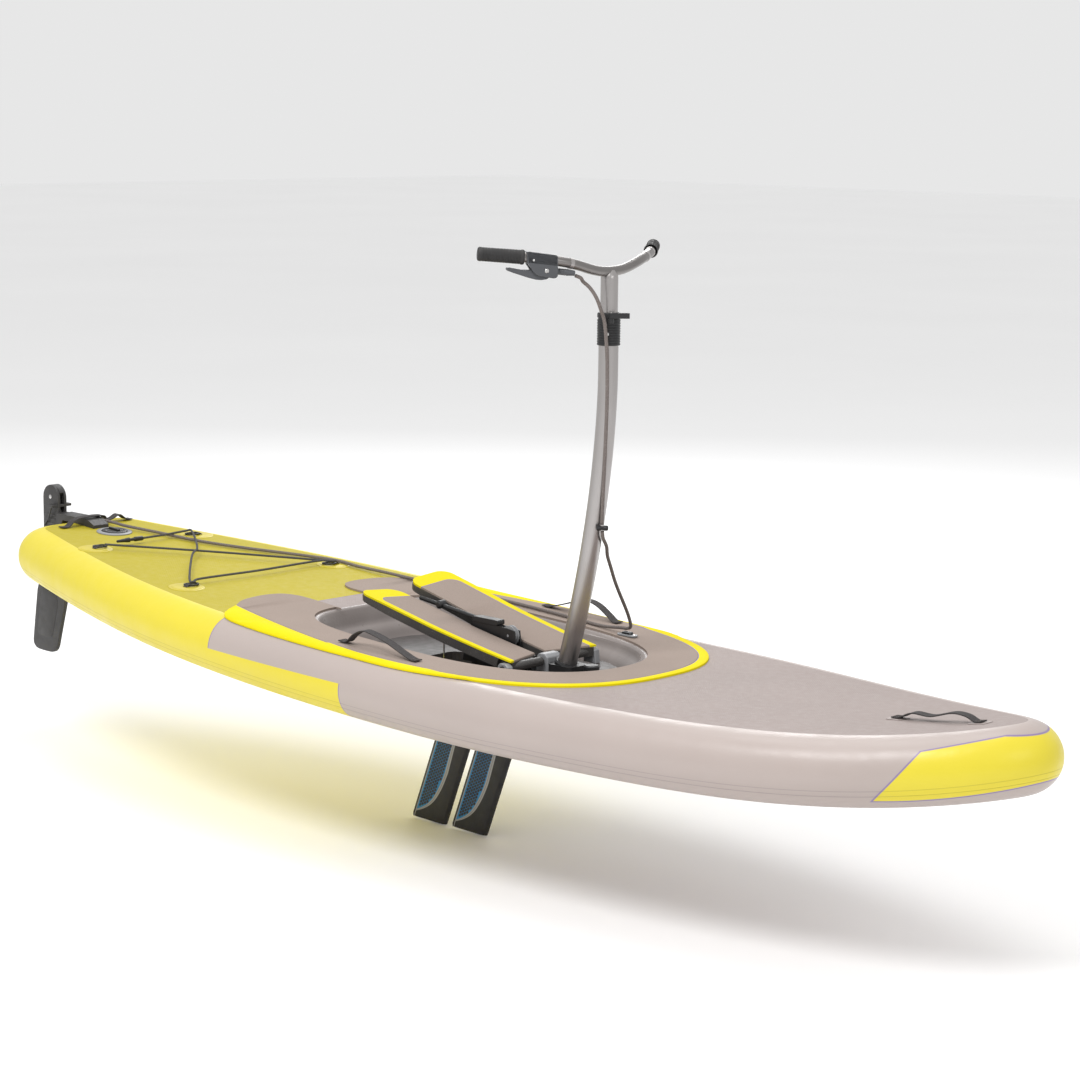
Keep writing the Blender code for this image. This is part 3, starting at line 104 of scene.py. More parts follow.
FIN_CHORD, FIN_TOP, FIN_TIP = 0.124, -0.058, -0.338

# ---- Colours, linear ----
HULL_GREY = (0.42, 0.356, 0.33)
DECK_GREY = (0.335, 0.281, 0.264)
RAIL_YELLOW = (0.7, 0.585, 0.03)
DECK_YELLOW = (0.45, 0.375, 0.018)
PAD_BEIGE = (0.305, 0.245, 0.21)
PAD_YELLOW = (0.74, 0.62, 0.0)
VIOLET = (0.23, 0.175, 0.34)
WELL_GREY = (0.255, 0.222, 0.21)
STRAP_GREY = (0.06, 0.055, 0.055)
CORD_GREY = (0.085, 0.083, 0.085)
SHEATH = (0.19, 0.162, 0.15)
DARK = (0.036, 0.034, 0.034)
BLACK = (0.012, 0.012, 0.013)
LIGHT_GREY = (0.25, 0.255, 0.265)
ALUMINIUM = (0.41, 0.39, 0.382)
FIN_BLUE = (0.004, 0.175, 0.4)


# ---- Curves of the hull ----
def rocker(x):
    return sum(rise * (max(0.0, way * (x - start)) / (LENGTH / 2 - way * start)) ** power for way, start,
        rise, power in ROCKERS)


def deck(x):
    return rocker(x) + THICKNESS


def deck_normal(x):
    return Vector((-(deck(x + 0.01) - deck(x - 0.01)) / 0.02, 0, 1)).normalized()


def fullness(u):
    bulge = sum(term * u ** (i + 1) for i, term in enumerate(BULGE))
    return max(0.0, 1 - u) ** NOSE_POWER * math.exp(bulge)


WIDEST = max(fullness(i / 100) for i in range(-100, 101))


def rail_line(stations=80, corner=16):
    """(x, half width) of the rail's centreline, from the bow's tip round to the middle of the stern."""
    reach = LENGTH / 2 - RAIL
    scale = (WIDTH / 2 - RAIL) / WIDEST
    points = []
    for i in range(stations + 1):
        u = 1 - (1 + TAIL_START) * (1 - math.cos(i / stations * math.pi / 2))
        points.append((u * reach, fullness(u) * scale))
    for i in range(corner - 1, -1, -1):
        turn = i / corner * math.pi / 2
        u = -TAIL_START - (1 - TAIL_START) * math.cos(turn) ** (2 / TAIL_SQUARE)
        points.append((u * reach, fullness(u) * scale * math.sin(turn) ** (2 / TAIL_SQUARE)))
    return points


RAIL_ROWS = sorted(rail_line())


def along(table, x):
    """Straight-line value of a table of (x, value) rows that rise in x."""
    if x <= table[0][0]:
        return table[0][1]
    for (x0, v0), (x1, v1) in zip(table, table[1:]):
        if x <= x1:
            return v0 + (v1 - v0) * (x - x0) / (x1 - x0)
    return table[-1][1]


def top_skin(x, y):
    """Height of the hull's upper surface, which falls away over the rail."""
    over = abs(y) - along(RAIL_ROWS, x)
    if over <= 0:
        return deck(x)
    return rocker(x) + RAIL + math.sqrt(max(0.0, RAIL ** 2 - over ** 2)) + 0.0018


def well_outline(grow=0.0, count=48):
    points = []
    for i in range(count):
        turn = 2 * math.pi * i / count
        c, s = math.cos(turn), math.sin(turn)
        reach, power = (WELL_FORE, WELL_POWERS[0]) if c >= 0 else (WELL_AFT, WELL_POWERS[1])
        x = math.copysign(abs(c) ** (2 / power), c) * (reach + grow)
        y = math.copysign(abs(s) ** (2 / power), s) * (WELL_HALF + grow)
        points.append((WELL_X + x, y))
    return points


def rounded(x, y, radius, steps=8):
    """A rounded rectangle's outline."""
    points = []
    for cx, cy, start in ((x[1], y[1], 0), (x[0], y[1], 1), (x[0], y[0], 2), (x[1], y[0], 3)):
        sx = -1 if start in (0, 3) else 1
        sy = -1 if start in (0, 1) else 1
        for i in range(steps + 1):
            turn = (start + i / steps) * math.pi / 2
            points.append((cx + radius * (sx + math.cos(turn)), cy + radius * (sy + math.sin(turn))))
    return points


def smooth_path(points, per_span=4):
    """A Catmull-Rom curve through the points."""
    pts = [Vector(p) for p in points]
    pts = [2 * pts[0] - pts[1], *pts, 2 * pts[-1] - pts[-2]]
    out = []
    for a, b, c, d in zip(pts, pts[1:], pts[2:], pts[3:]):
        for i in range(per_span):
            t = i / per_span
            out.append(0.5 * (2 * b + (c - a) * t + (2 * a - 5 * b + 4 * c - d) * t * t
                + (3 * b - a - 3 * c + d) * t ** 3))
    return [*out, pts[-2]]


# ---- Materials ----
def tint(colour, factor):
    return tuple(min(1.0, c * factor) for c in colour)


class Paint:
    """One node material: a Principled shader, with helpers that add and link nodes."""

    def __init__(self, name, colour, roughness=0.5, metallic=0.0, specular=0.5):
        self.material = bpy.data.materials.new(name)
        self.material.use_nodes = True
        self.tree = self.material.node_tree
        self.shader = self.tree.nodes["Principled BSDF"]
        self.shader.inputs["Base Color"].default_value = (*colour, 1)
        self.shader.inputs["Roughness"].default_value = roughness
        self.shader.inputs["Metallic"].default_value = metallic
        self.shader.inputs["Specular IOR Level"].default_value = specular
        self.material.diffuse_color = (*colour, 1)
        self.height = None
        self.point = self.add("ShaderNodeTexCoord").outputs["Object"]
        self.x, self.y, self.z = self.add("ShaderNodeSeparateXYZ", self.point).outputs

    def put(self, socket, value):
        if hasattr(value, "is_output"):
            self.tree.links.new(value, socket)
        elif value is not None:
            socket.default_value = value

    def add(self, kind, *values, **settings):
        node = self.tree.nodes.new(kind)
        for key, value in settings.items():
            setattr(node, key, value)
        for socket, value in zip(node.inputs, values):
            self.put(socket, value)
        return node

    def math(self, operation, a, b=0.0, c=0.0):
        return self.add("ShaderNodeMath", a, b, c, operation=operation).outputs[0]

    def minus(self, a, b):
        return self.math("SUBTRACT", a, b)

    def size(self, value):
        return self.math("ABSOLUTE", value)

    def over_zero(self, value):
        return self.math("MAXIMUM", value, 0.0)

    def scaled(self, value, factor, plus):
        return self.math("MULTIPLY_ADD", value, factor, plus)

    def bent(self, value, square, slope, base):
        """base + slope * value + square * value * value."""
        return self.scaled(self.math("MULTIPLY", value, value), square, self.scaled(value, slope, base))

    def linear(self, **parts):
        """Weighted sum of x, y and z, such as linear(x=1, z=-0.3, add=0.2)."""
        total = parts.pop("add", 0.0)
        for name, weight in parts.items():
            total = self.scaled(getattr(self, name), weight, total)
        return total

    def wave(self, **parts):
        return self.math("SINE", self.linear(**parts))

    def times(self, vector, factors):
        return self.add("ShaderNodeVectorMath", vector, factors, operation="MULTIPLY").outputs[0]

    def noise(self, scale, detail=3.0, roughness=0.5, point=None):
        node = self.add("ShaderNodeTexNoise")
        self.put(node.inputs["Vector"], self.point if point is None else point)
        node.inputs["Scale"].default_value = scale
        node.inputs["Detail"].default_value = detail
        node.inputs["Roughness"].default_value = roughness
        return node.outputs["Fac"]

    def curve(self, value, spots):
        """A smooth curve of value through spots, which lie between 0 and 1 both ways."""
        node = self.add("ShaderNodeFloatCurve")
        line = node.mapping.curves[0]
        for i, spot in enumerate(spots):
            if i < 2:
                line.points[i].location = spot
            else:
                line.points.new(*spot)
        node.mapping.update()
        self.put(node.inputs["Value"], value)
        return node.outputs[0]

    def spread(self, value, low, high, to_low=0.0, to_high=1.0):
        return self.add("ShaderNodeMapRange", value, low, high, to_low, to_high).outputs[0]

    def below(self, value, limit, soft=0.0004):
        """1 where value is under limit, 0 above it, with a narrow blend."""
        return self.spread(self.minus(value, limit), -soft, soft, 1.0, 0.0)

    def mix(self, share, a, b):
        node = self.tree.nodes.new("ShaderNodeMix")
        node.data_type = "RGBA"
        self.put(node.inputs[0], share)
        for socket, value in ((node.inputs[6], a), (node.inputs[7], b)):
            self.put(socket, value if hasattr(value, "is_output") else (*value, 1))
        return node.outputs[2]

    def mottle(self, colour, scale, amount=0.06, detail=4.0):
        """The colour with slow, uneven lighter and darker areas."""
        share = self.spread(self.noise(scale, detail), 0.3, 0.7)
        if hasattr(colour, "is_output"):
            return self.mix(share, self.times(colour, (1 - amount,) * 3), colour)
        return self.mix(share, tint(colour, 1 - amount), tint(colour, 1 + amount))

    def colour(self, value):
        self.put(self.shader.inputs["Base Color"], value)

    def rough(self, scale, detail, low, high):
        """Roughness that drifts between low and high."""
        self.put(self.shader.inputs["Roughness"], self.spread(self.noise(scale, detail), 0.3, 0.7, low,
            high))

    def bump(self, height, distance=0.001):
        node = self.tree.nodes.new("ShaderNodeBump")
        node.inputs["Strength"].default_value = 1.0
        node.inputs["Distance"].default_value = distance
        self.put(node.inputs["Height"], height)
        if self.height is not None:
            self.put(node.inputs["Normal"], self.height)
        self.height = node.outputs["Normal"]
        self.put(self.shader.inputs["Normal"], self.height)


def soft_plastic(name, colour, roughness=0.42, grain=900.0, depth=0.00012, spread=0.1):
    """Moulded plastic or rubber with a fine grain and slow changes of gloss."""
    paint = Paint(name, colour, roughness)
    paint.colour(paint.mottle(colour, 14, spread))
    paint.rough(40, 4, roughness - 0.06, roughness + 0.1)
    paint.bump(paint.noise(grain, 2), depth)
    return paint.material


def anodised(name, colour, roughness=0.3, lengthwise=(1, 1, 0.02)):
    """Satin aluminium, with faint drawing lines along its length."""
    paint = Paint(name, colour, roughness, 1.0)
    lines = paint.noise(700, 3, 0.6, paint.times(paint.point, lengthwise))
    paint.colour(paint.mix(lines, tint(colour, 0.9), tint(colour, 1.06)))
    paint.rough(9, 3, roughness - 0.04, roughness + 0.08)
    paint.bump(lines, 0.00006)
    return paint.material


def woven(name, colour, pitch=0.0016, edge=None):
    """Webbing or sheath: a small over-and-under weave, with a paler fuzz."""
    paint = Paint(name, colour, 0.82, 0.0, 0.3)
    turn = 2 * math.pi / pitch
    weave = paint.math("MULTIPLY", paint.wave(x=turn, y=turn * 0.9, z=turn * 0.5),
        paint.wave(x=-turn, y=turn * 0.9, z=turn * 0.4))
    thread = paint.spread(weave, -1, 1)
    base = paint.mix(thread, tint(colour, 0.62), tint(colour, 1.35))
    paint.colour(paint.mix(paint.spread(paint.noise(300, 4), 0.55, 0.8), base, edge or tint(colour, 1.7)))
    paint.bump(thread, 0.0004)
    return paint.material


# (half breadth, x) along the edge of the stern's yellow on the deck.
STERN_EDGE = mm(((0, -664), (144, -656), (225, -636), (270, -612), (330, -587), (372, -566), (395, -548),
    (411, -533), (431, -508), (447.5, -500)))
STERN_EDGE_RAIL, STERN_EDGE_LOW = -0.4965, 0.109  # x of the edge on the rail, down to this height
NOSE_X, NOSE_Z = 1.392, 0.0496  # lowest aft corner of the nose's yellow panel
HALF_LINE = 0.0014  # half the breadth of a violet line


def hull_zones(paint, grey, yellow):
    """Colour of the hull's skin: yellow stern, yellow nose panel and thin violet lines round both."""
    x = paint.math("ADD", paint.x, ORIGIN_X)
    breadth, span, start = 0.5, 0.25, -0.7
    edge = paint.curve(paint.math("DIVIDE", paint.size(paint.y), breadth),
        [(out / breadth, (at - start) / span) for out, at in STERN_EDGE])
    # A known fault: in float mode the node doesn't read the input that the curve is linked to, so the
    # curve has no effect, and under STERN_EDGE_LOW the edge is at mid-length.
    edge = paint.add("ShaderNodeMix", paint.below(paint.z, STERN_EDGE_LOW, 0.004),
        paint.scaled(edge, span, start), STERN_EDGE_RAIL).outputs[0]
    roof = paint.math("MINIMUM", paint.scaled(paint.math("ADD", x, -1.478), 0.285, 0.163), 0.199)
    floor = paint.bent(paint.minus(x, NOSE_X), 0.4, 0.09, NOSE_Z)
    slant = paint.bent(paint.minus(paint.z, NOSE_Z), -2.8, 1.08, NOSE_X)
    nose_gap = paint.math("MAXIMUM", paint.minus(paint.z, roof),
        paint.math("MAXIMUM", paint.minus(floor, paint.z),
        paint.math("MULTIPLY", paint.minus(slant, x), 0.7)))
    gap = paint.math("MINIMUM", paint.minus(x, edge), nose_gap)
    painted = paint.mix(paint.below(gap, 0.0), grey, yellow)
    return paint.mix(paint.below(paint.size(gap), HALF_LINE, 0.0006), painted, VIOLET)


def deck_material():
    """Drop-stitch deck: matt coated fabric with fine diagonal ribs."""
    paint = Paint("deck_fabric", DECK_GREY, 0.62, 0.0, 0.3)
    ribs, cross = paint.wave(x=820.0, y=-700.0), paint.wave(x=900.0, y=980.0)
    colour = hull_zones(paint, DECK_GREY, DECK_YELLOW)
    paint.colour(paint.mottle(paint.mix(paint.spread(ribs, -1, 1), paint.times(colour, (0.9,) * 3), colour),
        5, 0.04))
    paint.bump(paint.scaled(cross, 0.35, ribs), 0.00022)
    paint.bump(paint.noise(7, 2), 0.0022)
    paint.rough(60, 3, 0.56, 0.7)
    return paint.material


def rail_material():
    """Smooth coated rail tape, with two faint overlapping seams low on the side, each with painted shade
    along it.
    """
    paint = Paint("rail_tape", HULL_GREY, 0.38)
    colour = hull_zones(paint, HULL_GREY, RAIL_YELLOW)
    lift = paint.z
    for way, start, rise, power in ROCKERS:
        past = paint.over_zero(paint.scaled(paint.x, way, way * (ORIGIN_X - start)))
        lift = paint.scaled(paint.math("POWER", past, power), -rise / (LENGTH / 2 - way * start) ** power,
            lift)
    for level, depth in ((0.034, 0.0007), (0.046, 0.0004)):
        # A thin band along each seam is darkened with a slightly bluish tint: painted shade in the step
        # where one tape overlaps the next.
        seam_shade = paint.below(paint.size(paint.minus(lift, level)), 0.0009, 0.0006)
        colour = paint.mix(seam_shade, colour, paint.times(colour, (0.8, 0.8, 0.82)))
        paint.bump(paint.below(lift, level, 0.0006), depth)
    paint.colour(paint.mottle(colour, 4, 0.035))
    paint.rough(18, 4, 0.3, 0.46)
    paint.bump(paint.noise(26, 3), 0.0011)
    paint.bump(paint.noise(420, 2), 0.00005)
    return paint.material


def foam_material(name, colour, speck=0.1):
    """Closed-cell deck foam: matt, finely pitted and faintly speckled."""
    paint = Paint(name, colour, 0.86, 0.0, 0.25)
    fine = paint.noise(520, 3, 0.7)
    base = paint.mix(paint.spread(fine, 0.35, 0.65), tint(colour, 1 - speck), tint(colour, 1 + speck))
    paint.colour(paint.mottle(base, 9, 0.06))
    paint.bump(fine, 0.00035)
    paint.bump(paint.noise(70, 3), 0.0004)
    return paint.material


PAINTS = {
    "deck": deck_material(),
    "rail": rail_material(),
    "yellow_patch": soft_plastic("yellow_patch", (0.52, 0.43, 0.03), 0.45, 300, 0.0002),
    "grey_patch": soft_plastic("grey_patch", DECK_GREY, 0.45, 300, 0.0002),
    "well": soft_plastic("well_liner", WELL_GREY, 0.33, 160, 0.00035, 0.05),
    "pad": foam_material("pad_foam", PAD_BEIGE),
    "border": foam_material("border_foam", PAD_YELLOW, 0.05),
    "violet": soft_plastic("violet_line", VIOLET, 0.6, 600, 0.0001),
    "webbing": woven("strap_webbing", STRAP_GREY),
    "strap_edge": woven("strap_edge", (0.17, 0.15, 0.14)),
    "cord": woven("cord_sleeve", CORD_GREY, 0.0011),
    "sheath": woven("line_sheath", SHEATH, 0.0013, (0.3, 0.27, 0.26)),
    "black": soft_plastic("black_moulded", BLACK, 0.38),
    "dark": soft_plastic("dark_moulded", DARK, 0.44),
    "grey": soft_plastic("grey_moulded", LIGHT_GREY, 0.36),
    "tray": soft_plastic("tray_moulded", (0.085, 0.076, 0.073), 0.42, 240, 0.0003, 0.12),
    "steel": anodised("steel", (0.6, 0.59, 0.58), 0.22, (0.3, 1, 1)),
    "aluminium": anodised("aluminium", ALUMINIUM),
    "bar": anodised("bar_aluminium", (0.235, 0.222, 0.215), 0.3, (1, 0.03, 1)),
    "rubber": soft_plastic("grip_rubber", (0.022, 0.021, 0.021), 0.62, 700, 0.0003),
    "housing": soft_plastic("housing_plastic", (0.07, 0.073, 0.08), 0.4),
    "cam_yellow": soft_plastic("cam_yellow", (0.62, 0.56, 0.01), 0.35),
    "fin_black": soft_plastic("fin_black", (0.016, 0.014, 0.013), 0.55, 260, 0.0004),
}


# ---- Mesh helpers ----
def link_new(name, data):
    obj = bpy.data.objects.new(name, data)
    bpy.context.scene.collection.objects.link(obj)
    return obj


def mesh_object(name, bm, paints, sharp=None):
    """An object of a bmesh in board coordinates, smooth up to an edge angle of sharp."""
    bmesh.ops.translate(bm, verts=bm.verts, vec=(-ORIGIN_X, 0, 0))
    mesh = bpy.data.meshes.new(name)
    bm.to_mesh(mesh)
    bm.free()
    mesh.shade_smooth()
    if sharp:
        mesh.set_sharp_from_angle(angle=math.radians(sharp))
    for key in paints.split():
        mesh.materials.append(PAINTS[key])
    return link_new(name, mesh)


def finish_piece(bm, name, node, paints, body="board", sharp=32.0):
    """Makes the piece that stands for a CAD node, and hangs it on a body."""
    obj = mesh_object(name, bm, paints, sharp)
    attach(obj, body)
    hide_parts(node)


def mark_cord(obj, path, radius, **more):
    spots = [(p.x - ORIGIN_X, p.y, p.z) for p in path]
    run = sum((b - a).length for a, b in zip(path, path[1:]))
    if more.pop("whole", False):
        more["path"] = spots
    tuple(spots[0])


def add_rings(bm, rings, loop=False, caps=True, paint=0):
    """Skins a run of rings with equal point counts into bm and returns the rows of vertices."""
    rows = [[bm.verts.new(p) for p in ring] for ring in rings]
    count = len(rows[0])
    pairs = list(zip(rows, rows[1:])) + ([(rows[-1], rows[0])] if loop else [])
    for a, b in pairs:
        for i in range(count):
            j = (i + 1) % count
            bm.faces.new((a[i], a[j], b[j], b[i])).material_index = paint
    if caps and not loop:
        for face in (bm.faces.new(rows[0]), bm.faces.new(list(reversed(rows[-1])))):
            face.material_index = paint
    return rows


def circle(centre, a, b, radius, count):
    """Points round centre, from a towards b."""
    return [centre + radius * (a * math.cos(t) + b * math.sin(t))
        for t in (2 * math.pi * i / count for i in range(count))]


def add_turned(bm, profile, at, direction, count=40, loop=False, paint=0, caps=True):
    """Rings of (distance, radius) about a line from at along direction."""
    axis = Vector(direction).normalized()
    side = axis.orthogonal().normalized()
    up = axis.cross(side)
    rings = [circle(Vector(at) + axis * distance, side, up, radius, count) for distance, radius in profile]
    return add_rings(bm, rings, loop, caps, paint)


def add_sweep(bm, path, section, up=(0, 0, 1), paint=0):
    """A section of (side, up) points carried along a path."""
    rings = []
    last = len(path) - 1
    for i, point in enumerate(path):
        ahead = (Vector(path[min(i + 1, last)]) - Vector(path[max(i - 1, 0)])).normalized()
        side = Vector(up).cross(ahead).normalized()
        top = ahead.cross(side)
        rings.append([Vector(point) + side * a + top * b for a, b in section])
    return add_rings(bm, rings, paint=paint)


def round_section(radius, count=32):
    return [(radius * math.cos(2 * math.pi * i / count), radius * math.sin(2 * math.pi * i / count))
        for i in range(count)]


def fixed(bm):
    bmesh.ops.remove_doubles(bm, verts=bm.verts, dist=1e-6)
    bmesh.ops.recalc_face_normals(bm, faces=bm.faces)
    return bm


def cut_across(bm, at, normal):
    geometry = [*bm.verts, *bm.edges, *bm.faces]
    bmesh.ops.bisect_plane(bm, geom=geometry, plane_co=at, plane_no=normal, dist=1e-7)


def bevelled(bm, width, segments=2, angle=30.0):
    """Rounds the edges of bm that are sharper than angle."""
    bmesh.ops.recalc_face_normals(bm, faces=bm.faces)
    edges = [e for e in bm.edges if len(e.link_faces) == 2 and e.calc_face_angle(0) > math.radians(angle)]
    bmesh.ops.bevel(bm, geom=edges, offset=width, segments=segments, profile=0.6, affect="EDGES",
        clamp_overlap=True)


def merge(bm, part):
    """Moves part's mesh into bm."""
    mesh = bpy.data.meshes.new("part")
    part.to_mesh(mesh)
    part.free()
    bm.from_mesh(mesh)
    bpy.data.meshes.remove(mesh)


def add_prism(bm, outline, low, high, axis="Z", bevel=0.0, segments=3, paint=0, drape=None):
    """An outline extruded from low to high, with rounded edges. Its coordinates are the other two axes'.

    drape gives a height to add at each x."""
    def point(p, h):
        return {"Z": (p[0], p[1], h), "Y": (p[0], h, p[1])}[axis]

    part = bmesh.new()
    add_rings(part, [[point(p, low) for p in outline], [point(p, high) for p in outline]], paint=paint)
    if bevel:
        bevelled(part, bevel, segments)
    if drape:
        for vert in part.verts:
            vert.co.z += drape(vert.co.x)
    merge(bm, part)


# ---- Camera, floor and light ----
EYE, LENS_MM = (4.61981, -4.56897, 1.46589), 90.0
YAW, PITCH, ROLL = math.radians(43.927), math.radians(9.3365), math.radians(0.6459)
FLOOR_GAP, FLOOR_SIZE, FLOOR_WHITE = 0.004, 40, (0.97, 0.97, 0.97)
# name, place, what it points at, size, watts
LAMPS = (
    ("key", (0.2, -3.6, 5.2), (-0.4, 0, 0.1), 2.4, 190),
    ("fill", (5.5, -1.0, 3.0), (0.2, 0, 0.3), 2.5, 30),
    ("top", (-1.0, 0.8, 5.5), (-0.6, 0, 0.0), 4.0, 90),
    ("back", (-4.5, 4.5, 3.5), (-0.6, 0, 0.2), 3.0, 90),
)
SKY_STRENGTH = 0.8


def build_stage():
    forward = Vector((-math.sin(YAW) * math.cos(PITCH), math.cos(YAW) * math.cos(PITCH), -math.sin(PITCH)))
    right = Vector((math.cos(YAW), math.sin(YAW), 0))
    up = right.cross(forward)
    turned_right = right * math.cos(ROLL) + up * math.sin(ROLL)
    turned_up = up * math.cos(ROLL) - right * math.sin(ROLL)
    camera = bpy.data.cameras.new("camera")
    camera.lens, camera.sensor_width, camera.clip_end = LENS_MM, 36.0, 100.0
    eye = link_new("camera", camera)
    turn = Matrix((turned_right, turned_up, -forward)).transposed().to_4x4()
    eye.matrix_world = Matrix.Translation((EYE[0] - ORIGIN_X, *EYE[1:])) @ turn
    bpy.context.scene.camera = eye

    bm = bmesh.new()
    bmesh.ops.create_grid(bm, x_segments=8, y_segments=8, size=FLOOR_SIZE)
    bmesh.ops.translate(bm, verts=bm.verts, vec=(0, 0, CAD_BOX[0][2] - FLOOR_GAP))
    mesh = bpy.data.meshes.new("studio_floor")
    bm.to_mesh(mesh)
    bm.free()
    paint = Paint("studio_floor", FLOOR_WHITE, 0.9, 0.0, 0.1)
    paint.colour(paint.mottle(FLOOR_WHITE, 0.4, 0.01))
    mesh.materials.append(paint.material)
    link_new("studio_floor", mesh)

    for name, place, target, size, power in LAMPS:
        light = bpy.data.lights.new(name, "AREA")
        light.shape, light.size, light.energy = "DISK", size, power
        lamp = link_new(name, light)
        lamp.location = place
        lamp.rotation_euler = (Vector(target) - Vector(place)).to_track_quat("-Z", "Y").to_euler()
    world = bpy.data.worlds.new("studio")
    world.use_nodes = True
    background = world.node_tree.nodes["Background"]
    background.inputs["Color"].default_value = (1, 1, 1, 1)
    background.inputs["Strength"].default_value = SKY_STRENGTH
    bpy.context.scene.world = world
    bpy.context.scene.view_settings.view_transform = "Standard"


# ---- Hull ----
def half_sheet(bm, outer, holes, height, side, paint, steps):
    """One side of a surface between the hull's outline and the holes on its centreline.

    outer runs from the bow to the stern, and each hole's points run from its aft end to its fore end,
    all on the +Y side. height gives each point's Z."""
    loop = [*outer]
    for hole in holes:
        loop += hole
    part = bmesh.new()
    part.faces.new([part.verts.new((x, side * y, 0.0)) for x, y in loop])
    for x in steps:
        cut_across(part, (x, 0, 0), (1, 0, 0))
    for vert in part.verts:
        vert.co.z = height(vert.co.x)
    for face in part.faces:
        face.material_index = paint
    bmesh.ops.triangulate(part, faces=part.faces)
    merge(bm, part)


def upper_half(points):
    """The points of a closed outline with y at or over zero, from its aft end to its fore end."""
    kept = sorted((p for p in points if p[1] > 1e-6), key=lambda p: math.atan2(p[1], p[0] - WELL_X),
        reverse=True)
    ends = [min(points), max(points)]
    return [(ends[0][0], 0.0), *kept, (ends[1][0], 0.0)]


def disc_half(centre, radius, count=20):
    return [(centre + radius * math.cos(math.pi * i / count), radius * math.sin(math.pi * i / count))
        for i in range(count, -1, -1)]


def build_hull():
    bm = bmesh.new()
    line = rail_line()
    loop = [(x, -w) for x, w in line] + [(x, w) for x, w in reversed(line[1:-1])]
    arc = 26
    rows = []
    for i, (x, y) in enumerate(loop):
        before, after = loop[i - 1], loop[(i + 1) % len(loop)]
        run = Vector((after[0] - before[0], after[1] - before[1]))
        out = Vector((run.y, -run.x)).normalized()
        if out.dot(Vector((x, y * 4))) < 0:
            out = -out
        column = []
        for j in range(arc + 1):
            turn = math.pi / 2 - math.pi * j / arc
            reach = RAIL * math.cos(turn)
            column.append(bm.verts.new((x + out.x * reach, y + out.y * reach, rocker(x) + RAIL
                + RAIL * math.sin(turn))))
        rows.append(column)
    for a, b in zip(rows, rows[1:] + rows[:1]):
        for j in range(arc):
            bm.faces.new((a[j], b[j], b[j + 1], a[j + 1])).material_index = 1

    lip = mm(((4, 0), (0.5, -0.6), (-3, -3), (-5.5, -7)))
    well_top = upper_half(well_outline(lip[0][0], 96))
    valve = disc_half(VALVE_X, 0.04)
    slot = rounded(SLOT_X, (-SLOT_HALF, SLOT_HALF), 0.03)
    slot_half = [p for p in slot if p[1] > 0]
    slot_half.sort(key=lambda p: math.atan2(p[1], p[0] - 0.05), reverse=True)
    slot_half = [(SLOT_X[0], 0.0), *slot_half, (SLOT_X[1], 0.0)]
    stations = [-1.64 + 0.035 * i for i in range(94)]
    for side in (-1, 1):
        half_sheet(bm, line, [valve, well_top], deck, side, 0, stations)
        half_sheet(bm, line, [slot_half], rocker, side, 1, stations)
        floor_outline = list(reversed(upper_half(well_outline(-0.05, 96))))
        half_sheet(bm, floor_outline, [slot_half], lambda x: WELL_FLOOR, side, 2,
            [-0.36 + 0.04 * i for i in range(20)])

    rings = [[(x, y, deck(x) + drop) for x, y in well_outline(grow, 96)] for grow, drop in lip]
    walls = ((0.15, -0.01), (0.142, -0.013), (0.133, -0.015), (0.127, -0.022), (0.121, -0.03),
        (0.11, -0.037), (0.1, -0.041), (0.092, -0.045), (WELL_FLOOR, -0.05))
    rings += [[(x, y, z) for x, y in well_outline(grow, 96)] for z, grow in walls]
    add_rings(bm, rings, caps=False, paint=2)
    add_rings(bm, [[(x, y, z) for x, y in slot] for z in (WELL_FLOOR, 0.06, 0.03, 0.0)], caps=False,
        paint=2)
    fixed(bm)
    for x, y in (PATCH_AFT, PATCH_FORE):
        for side in (-1, 1):
            add_turned(bm, mm(((-3, 47), (0.8, 47), (1.3, 46.2), (1.3, 39.5), (2.4, 38.5), (2.6, 37.5),
                (2.6, 0))), (x, side * y, deck(x)), deck_normal(x), 48, paint=3, caps=False)
    finish_piece(bm, "hull_skin", "hull", "deck rail well yellow_patch", sharp=40)


# ---- Deck pads ----
def pad_edge(x):
    return PAD_HALF - 0.09 * (max(0.0, -x) / 0.562) ** 1.5


def half_ellipse(fore, half, count=64):
    points = []
    for i in range(count + 1):
        turn = math.pi / 2 - math.pi * i / count
        c, s = math.cos(turn), math.sin(turn)
        points.append((fore * abs(c) ** (2 / PAD_POWER),
            math.copysign(half * abs(s) ** (2 / PAD_POWER), s)))
    return points


def add_sheet(bm, outline, height, step, lanes=()):
    """A foam sheet with this plan outline, laid on a surface, with a rounded upper edge."""
    part = bmesh.new()
    rows = add_rings(part, [[(x, y, z) for x, y in outline] for z in (0.0, PAD_T)])
    top = set(rows[1])
    edges = [e for e in part.edges if e.verts[0] in top and e.verts[1] in top]
    bmesh.ops.bevel(part, geom=edges, offset=PAD_ROUND, segments=2, profile=0.5, affect="EDGES",
        clamp_overlap=True)
    x = math.ceil(min(p[0] for p in outline) / step) * step
    while x < max(p[0] for p in outline):
        cut_across(part, (x + OFF_VERTEX, 0, 0), (1, 0, 0))
        x += step
    for y in lanes:
        cut_across(part, (0, y, 0), (0, 1, 0))
    for vert in part.verts:
        vert.co.z += height(vert.co.x, vert.co.y)
    merge(bm, part)


